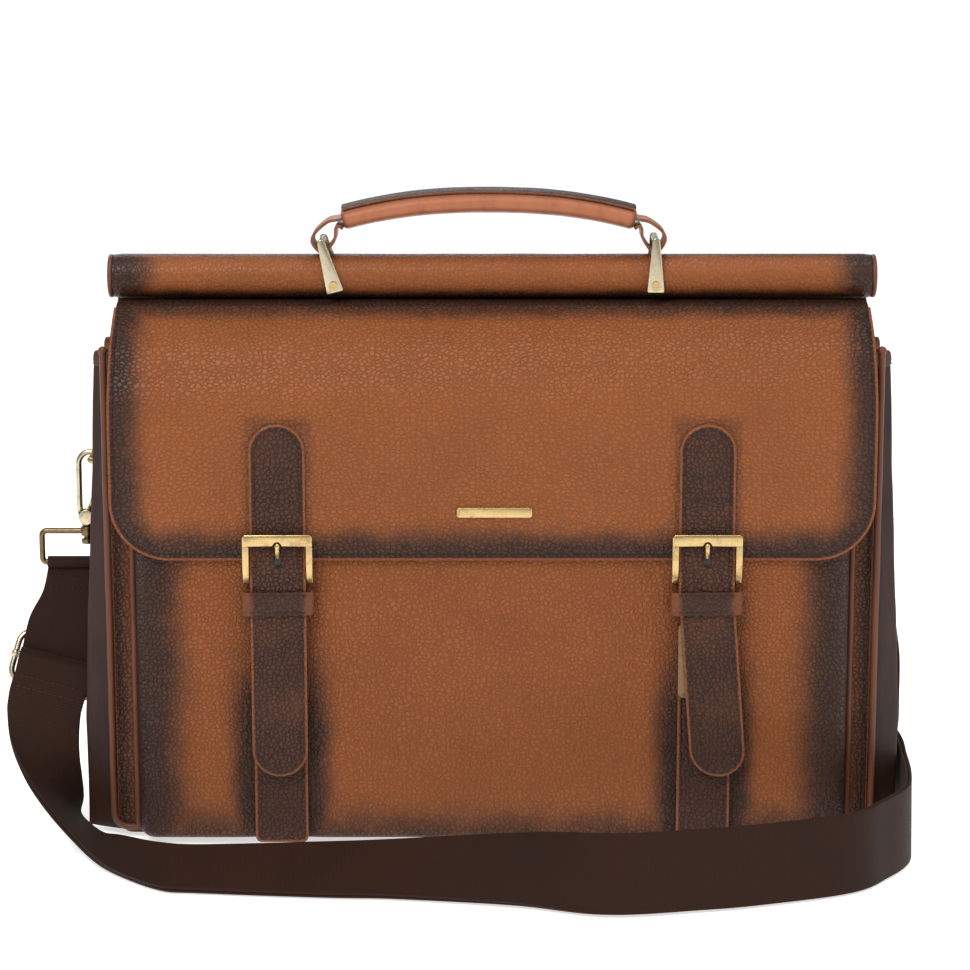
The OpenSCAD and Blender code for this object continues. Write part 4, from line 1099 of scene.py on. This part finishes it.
def grip_point(u, y, h):
    """Point of the arched grip: u from -1 to 1, y across it and h over its middle line."""
    slope = -GRIP_RISE * 2.3 * abs(u) ** 1.3 * math.copysign(1, u) / GRIP_HALF
    c = 1 / math.sqrt(1 + slope * slope)
    return (GRIP_MID + u * GRIP_HALF - h * slope * c, ROD.y + y,
            GRIP_Z + GRIP_RISE * (1 - abs(u) ** 2.3) + h * c)


def make_grip():
    reach = 0.947

    def skin(a, b):
        u = (2 * dense_ends(a, 0.7) - 1) * reach
        t = 2 * math.pi * b
        c, s = math.cos(t), math.sin(t)
        k = (abs(c) ** 2.9 + abs(s) ** 2.9) ** (-1 / 2.9)
        end = 1 - 0.13 * (1 - ease(0, 0.022, reach - abs(u)))
        plump = 1 + 0.03 * ease(0.9, 0.2, abs(u)) + 0.012 * wander(u * 76, 8 * t, 3, 14)
        lift = 0.5 * (1 - abs(c)) if s < 0 else 0
        return grip_point(u, 11.7 * k * c * end * plump, (4.75 * k * s - lift) * end * plump)

    def tint(a, b):
        u = abs(2 * dense_ends(a, 0.7) - 1) * reach
        # painted shade: the grip's underside is darkened
        under = 0.35 * ease(0.2, -0.9, math.sin(2 * math.pi * b))
        return 0.75 * ease(0.9, reach, u) + under, NO_EDGE
    bm = grid(120, 40, skin, lambda a, b: (a * 0.145, b * 0.06), tint, close=True)
    bmesh.ops.holes_fill(bm, edges=[e for e in bm.edges if e.is_boundary], sides=0)
    bmesh.ops.recalc_face_normals(bm, faces=bm.faces)
    piece = make(bm, "grip_leather", "handle", [handle_hide], ["handle_grip"])

    def strip(a, b):
        u = (2 * dense_ends(a, 0.4) - 1) * (reach - 0.012)
        y = (2 * b - 1) * 8.3
        crown = 2.3 - 1.0 * abs(y / 8.3) ** 3 + 0.12 * wander(u * 76, y, 6, 12)
        return grip_point(u, y, 4.75 + crown)
    bm = grid(120, 16, strip, lambda a, b: (a * 0.145, b * 0.017),
              lambda a, b: (0.9, 9 * min(b, 1 - b)))
    make(face_to(bm, (0, 0, 1)), "grip_top_leather", "handle",
         [hide_dark, painted_edge], ["handle_top_strip"], 1.5, rounded=0.4)
    bm = bmesh.new()
    for s in (-1, 1):
        def cord_side(u, v, s=s):
            return grip_point(u / 76.5, s * 9.6, 4.9 + v), (0, s * 0.4, 1)
        stitch_row(bm, cord_side, [(-70, 0), (70, 0)], 2.8, (1.0, 0.24, 0.22), 0.05)
    make(bm, "grip_stitches", "handle", [seam_thread])

    for side, name, bar in ((-1, "left", LEFT_BAR), (1, "right", RIGHT_BAR)):
        end = GRIP_MID + side * 75
        out = bar[0] + side * 5.4
        line = Line(smooth_line([(end - side * 2.5, GRIP_Z + 2.9), (end + side * 1, GRIP_Z + 2.4),
                                 (end + side * 5.5, GRIP_Z + 1.2), (out - side * 1.5, bar[1] + 5.0),
                                 (out, bar[1] - 0.3), (bar[0] + side * 1.4, 293.4),
                                 (bar[0] - side * 2.6, 293.8), (end + side * 0.7, bar[1] + 1),
                                 (end, GRIP_Z - 2.4), (end - side * 2.2, GRIP_Z - 3.4)], 6))

        def band(a, b, line=line, side=side):
            x, z = line.side(a * line.length, -side * 0.8)
            y = (2 * dense_ends(b, 0.4) - 1) * (9.3 - 0.3 * math.sin(math.pi * a))
            return x, ROD.y + y, z

        def band_tint(a, b):
            return 0.15 + 0.5 * ease(0.3, 0.0, min(b, 1 - b) * 2), 18 * min(b, 1 - b)
        bm = grid(64, 14, band, lambda a, b: (b * 0.0186, a * 0.05), band_tint)
        make(face_to(bm, (side, 0, 0)), "loop_" + name + "_leather", "handle",
             [handle_hide, painted_edge], ["handle_loop_" + name], 1.5, 0.0, rounded=0.35)

    for side, name, lean in ((-1, "left", LEAN), (1, "right", 0.0)):
        cx, s, c = 1.2 + side * 80, math.sin(lean), math.cos(lean)

        def at(p, q, y, cx=cx, s=s, c=c):
            return cx + p * c - q * s, ROD.y + y, SCREW_Z + p * s + q * c
        bm = bmesh.new()
        outline = [(3.9, -3.4), (4.3, -2.3), (1.95, 22.2)]
        outline += [(1.9 * math.cos(t), 22.2 + 1.9 * math.sin(t))
                    for t in np.linspace(0.3, math.pi - 0.3, 7)]
        outline += [(-1.95, 22.2), (-4.3, -2.3), (-3.9, -3.4)]
        for leg in (-1, 1):
            bar_of(bm, outline, leg * 11.3, leg * 13.3, at, 0.45, 3)
        wire(bm, [at(0, 22.2, -11.6), at(0, 22.2, 11.6)], 1.6, sides=20)
        make(bm, "bracket_" + name + "_plate", "bracket_" + name, [brass_bright],
             ["bracket_" + name])


# ---------- rings and hooks ----------
def make_hardware():
    for side, name, droop, hook, ring_turn in (
            (-1, "left", 0.0, Vector((-206.5, RING_Y, 156.933)), False),
            (1, "right", math.radians(60), Vector((198.75, RING_Y, 143.51)), True)):
        pivot = Vector((side * 188, RING_Y, 187.333))

        def ring_at(p, q):
            reach = 7.75 + q
            return (pivot.x + side * reach * math.cos(droop), RING_Y + p,
                    pivot.z - reach * math.sin(droop))
        bm = bmesh.new()
        wire(bm, frame_points(20, 15.5, 5, ring_at), 1.5, closed=True)
        make(bm, "d_ring_" + name + "_wire", "d_ring_" + name, [brass],
             ["d_ring_" + name])

        line = Line(smooth_line([(-3.4, 24), (-3.5, 12), (-3.3, 4), (-2.4, -1), (0, -2.7),
                                 (2.5, -1), (2.2, 2.0), (0.2, 3.2), (-1.6, 5.5), (-2.0, 12)], 6))

        def wrap(a, b):
            x, z = line.at(a * line.length)
            return pivot.x + side * x, RING_Y + (2 * b - 1) * 5.9, pivot.z + z
        bm = grid(60, 10, wrap, None, lambda a, b: (0.8, 11.8 * min(b, 1 - b)))
        make(face_to(bm, (side, 0, 0)), "ring_tab_" + name + "_leather", "bag",
             [trim_hide, dark_edge], ["d_ring_tab_" + name], 1.1, 0.0, rounded=0.25)

        # the hook, drawn for the left side
        def at(x, z, y=0.0):
            return hook.x - side * x, hook.y + y, hook.z + z
        bm = bmesh.new()
        bend = [at(2.75 + 6.25 * math.cos(t), 27.35 + 6.25 * math.sin(t))
                for t in np.linspace(math.pi, 0, 16)]
        wire(bm, [at(-3.3, 1.5), at(-3.5, 6), at(-3.5, 20)] + bend + [at(9, 25.6), at(9, 24.3)],
             1.5, sides=20)
        for low, high in ((-3.2, -1.75), (1.75, 3.2)):
            bar_of(bm, circle(4), low, high, at_disc(hook, side), 0.4, 3)
        block = [(-3.9, -1.5), (-2.5, -1.5), (-2.5, -2.9), (2.4, -2.9), (1.6, -4.0), (-1.6, -4.0),
                 (-3.4, -2.8)]
        bar_of(bm, block, -1.8, 1.8, at_disc(hook, side), 0.0)
        make(bm, "hook_" + name + "_loop", "hook_" + name, [brass_bright],
             ["hook_" + name])
        bm = bmesh.new()
        wire(bm, [at(0, -13.6), at(0, -3.2)], 1.75, sides=24)
        for low, high, r in ((-14, -11.5, 3.0), (-4.6, -3.3, 2.7)):
            bar_of(bm, circle(r), low, high,
                   lambda p, q, z: (hook.x + p, hook.y + q, hook.z + z), 0.5, 3)
        make(bm, "hook_" + name + "_neck", "hook_" + name, [bronze])

        bm = bmesh.new()
        tip = Vector((9, 0, 23.85))
        wire(bm, [at(tip.x * k, tip.z * k) for k in (0.06, 0.5, 0.985)], 1.25, sides=16)
        bar_of(bm, circle(2.1, 24), -1.5, 1.5, at_disc(hook, side), 0.3, 2)
        make(bm, "gate_" + name + "_bar", "hook_gate_" + name, [brass],
             ["hook_gate_" + name])

        bm = bmesh.new()
        middle_z = hook.z - 7.5 - 8.2

        def loop_at(p, q):
            if ring_turn:
                return hook.x, RING_Y + p, middle_z + q
            return hook.x - 1.5 + p, RING_Y, middle_z + q
        wire(bm, frame_points(43.4, 16.4, 2.5, loop_at), 1.5, closed=True)
        bar_of(bm, circle(3.2), -9.9, -5.1,
               lambda p, q, z: (hook.x + p, hook.y + q, hook.z + z), 0.7, 3)
        make(bm, "strap_ring_" + name + "_wire", "bag", [bronze],
             ["strap_ring_" + name])


def at_disc(hook, side):
    """Places a flat shape upright at a hook, drawn for the left side."""
    return lambda p, q, y: (hook.x - side * p, hook.y + y, hook.z + q)


# ---------- webbing and slider ----------
# points of the webbing's lower and upper edge, in pairs, from the left ring to the right one
ROUTE = [
    ((-227, 8, 131), (-189, 8, 131)), ((-229.5, 3, 119), (-191.5, 4, 116)),
    ((-236, -2, 106), (-199, -3, 98)), ((-240, -9, 88), (-203, -10, 80)),
    ((-243.5, -16, 70), (-210.5, -18, 62)), ((-243, -23, 52), (-211.5, -21.5, 40)),
    ((-234, -34, 33), (-211.5, -16, 18)), ((-221, -48, 18), (-212, -16, 7)),
    ((-207, -66, 9), (-204.5, -28, 4)), ((-194, -84, 4), (-195, -46, 5)),
    ((-181, -99, 2.2), (-184, -62, 9)), ((-160, -119, 2), (-163, -82, 12)),
    ((-140, -123, 2), (-142, -86, 12)), ((-82, -129, 2), (-83, -94, 16)),
    ((-44, -132, 2), (-45, -98, 19)), ((13, -143, 2), (13, -115, 28)),
    ((56, -154, 1), (56, -142, 37)), ((97, -147, 1), (97, -136, 37)),
    ((127, -139, 1), (127, -129, 37)), ((171, -121, 1), (171, -113, 37)),
    ((191, -99, 0.5), (190, -93, 38)), ((204, -76, 0.5), (203, -72, 38)),
    ((208, -48, 0.5), (208, -47, 38)), ((210, -15, 0.5), (210, -15, 38)),
    ((211.5, 20, 0.5), (211.5, 20, 38)), ((207, 54, 0.5), (207, 54, 38)),
    ((190, 68, 0.5), (190, 67, 38)), ((150, 74, 0.5), (150, 72, 38)),
    ((115, 78, 0.5), (115, 76, 38)), ((98, 86, 0.5), (98, 85, 38)),
    ((98, 99, 0.5), (98, 98, 38)), ((115, 107, 0.5), (115, 105, 38)),
    ((150, 106, 0.5), (150, 103, 38)), ((182, 98, 1), (182, 96, 39)),
    ((204, 78, 8), (204, 82, 46)), ((212.5, 47, 27), (213, 74, 54)),
    ((210.5, 22, 60), (211, 57, 76)), ((207, 4, 90), (209, 40, 101)),
    ((199.75, -11, 107.85), (199.75, 27, 110.8)), ((198.75, -11, 117.6), (198.75, 27, 117.6))]
FINE = 9               # steps between two rows of the route
WEB_LOW = smooth_line([r[0] for r in ROUTE], FINE)
WEB_HIGH = smooth_line([r[1] for r in ROUTE], FINE)
WEB_MID = (WEB_LOW + WEB_HIGH) / 2
WEB_LAST = len(WEB_MID) - 1
WEB_MARKS = np.concatenate([[0], np.cumsum(np.linalg.norm(np.diff(WEB_MID, axis=0), axis=1))])


def web_frame(i):
    """Middle, across and outward directions of the webbing at step i, which may be a share."""
    def one(k):
        c = unit(WEB_HIGH[k] - WEB_LOW[k])
        d = unit(WEB_MID[min(WEB_LAST, k + 3)] - WEB_MID[max(0, k - 3)])
        return WEB_MID[k], c, unit(np.cross(d, c))
    k = min(WEB_LAST - 1, int(i))
    t = i - k
    return [(1 - t) * p + t * q for p, q in zip(one(k), one(k + 1))]


def web_point(i, u, off):
    mid, across, out = web_frame(i)
    lift = max(0.0, off)
    p = mid + across * u + out * off
    return p[0], p[1], max(p[2], 0.35 + lift * 0.2)


def ribbon(name, first, last, off, stands_for):
    rows = int(last - first)

    def at(a, b):
        i = first + b * (last - first)
        u = (2 * dense_ends(a, 0.4) - 1) * WEB_W / 2
        wave = 0.12 * wander(u, WEB_MARKS[min(WEB_LAST, int(i))], 3, 22)
        return web_point(i, u, off + wave)
    bm = grid(12, rows, at,
              lambda a, b: (dense_ends(a, 0.4) * WEB_W / 1000,
                            np.interp(first + b * (last - first), range(WEB_LAST + 1),
                                      WEB_MARKS) / 1000))
    piece = make(bm, name, "bag", [webbing], stands_for, WEB_T - 0.1, 0.0,
                 rounded=0.35)
    return piece


def make_webbing():
    layer = WEB_T / 2 + 0.12
    ribbon("webbing_under", 0, WEB_LAST - 3, -layer, ["webbing_inner"])
    ribbon("webbing_over", 54, WEB_LAST, layer, ["webbing_outer"])
    for name, centre, turned in (("left", (-208, RING_Y, 133.03), False),
                                 ("right", (198.75, RING_Y, 119.61), True)):
        def eye(a, b):
            t = math.radians(-60 + 300 * b)
            u, r = (2 * a - 1) * WEB_W / 2, 2.4
            p, z = r * math.cos(t), centre[2] + r * math.sin(t) + 0.1
            if turned:
                return centre[0] - p, centre[1] + u, z
            return centre[0] + u, centre[1] + p, z
        bm = grid(12, 30, eye, lambda a, b: (a * 0.038, b * 0.0127))
        piece = make(bm, "webbing_eye_" + name, "bag", [webbing], (), WEB_T - 0.2, 0.0,
                     rounded=0.3)

    # the slider, drawn with x along the webbing's width and z up its length
    start = WEB_MID[27]
    down = unit(WEB_MID[33] - WEB_MID[21])
    across = unit(WEB_HIGH[27] - WEB_LOW[27])
    across = unit(across - down * np.dot(across, down))
    out = np.cross(down, across)

    def local(x, y, z):
        return tuple(start + across * x - out * y - down * z)
    bm = bmesh.new()
    wire(bm, frame_points(44, 27, 7, lambda p, q: local(p, 3.92, q)), 1.6, closed=True)
    make(bm, "slider_frame_wire", "slider", [brass_bright], ["slider_frame"])
    bm = bmesh.new()
    wire(bm, [local(-21.6, -4.02, 0), local(21.6, -4.02, 0)], 1.4, sides=20)
    for s in (-1, 1):
        wire(bm, [local(s * 21.4, -4.3, 0), local(s * 22, 3.9, 0)], 1.5, sides=20)
        for x, y, r in ((21.2, -4.1, 1.9), (22.2, 3.92, 2.4)):
            spot = Matrix.Translation(local(s * x, y, 0)) @ Matrix.Diagonal((0.85, 1, 1, 1))
            bmesh.ops.create_uvsphere(bm, u_segments=20, v_segments=12, radius=r, matrix=spot)
    make(bm, "slider_cross_bar", "slider", [brass_bright], ["slider_bar"])

    # the webbing's end, folded round the slider's bar
    spots, ways = [], []
    for i in (54, 50, 46, 42, 38):
        mid, c, o = web_frame(i)
        spots.append(mid + o * layer)
        ways.append(c)
    for y, z in ((-2.9, -12), (-4.6, -6), (-6.4, -1.4), (-6.6, 0.8), (-5.7, 2.4), (-4.0, 2.9),
                 (-2.3, 2.3), (-1.45, 0.6), (-1.2, -2.5), (-1.05, -7), (-0.95, -12)):
        spots.append(np.array(local(0, y, z)))
        ways.append(across)
    run = Line(smooth_line(spots, 6))
    turns = smooth_line(ways, 6)
    steps = len(turns) - 1
    joined = WEB_MARKS[54]

    def fold(a, b):
        i = b * steps
        k = min(steps - 1, int(i))
        c = turns[k] * (k + 1 - i) + turns[k + 1] * (i - k)
        p = run.points[k] * (k + 1 - i) + run.points[k + 1] * (i - k)
        half = WEB_W / 2 - 0.15 * min(1, 4 * b)
        return tuple(p + unit(c) * (2 * dense_ends(a, 0.4) - 1) * half)
    bm = grid(12, steps, fold, lambda a, b: (dense_ends(a, 0.4) * WEB_W / 1000,
                                             (joined - b * run.length) / 1000))
    piece = make(bm, "webbing_turn", None, [webbing], ["strap_end_loop"],
                 WEB_T - 0.1, 0.0, rounded=0.3)
    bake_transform(piece)

    bm = bmesh.new()

    def on_fold(u, v):
        y = np.interp(v, (-20, -12, -6), (-1.7, -3.62, -5.3))
        return local(u, y, v), Vector(out)
    for z in (-10.5, -16.0):
        stitch_row(bm, on_fold, [(-16.5, z), (16.5, z)], 2.6, (1.0, 0.3, 0.25), 0.1)
    make(bm, "webbing_turn_stitches", "slider", [web_thread])
    bm = bmesh.new()

    def on_under(u, v):
        return web_point(v, u, -0.02), web_frame(v)[2]
    for i in (4.0, 7.5):
        stitch_row(bm, on_under, [(-16.5, i), (16.5, i)], 2.6, (1.0, 0.3, 0.25), 0.05)
    make(bm, "webbing_eye_stitches", "bag", [web_thread])


make_grip()
make_hardware()
make_webbing()

CAD_FINISH = {"base_board": core_wood, "top_rod": core_wood}
for clasp in ("clasp_socket_left", "clasp_socket_right", "clasp_stud_left", "clasp_stud_right"):
    CAD_FINISH[clasp] = bronze
for node_name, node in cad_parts.items():
    node.data.materials.clear()
    node.data.materials.append(CAD_FINISH.get(node_name, brass))
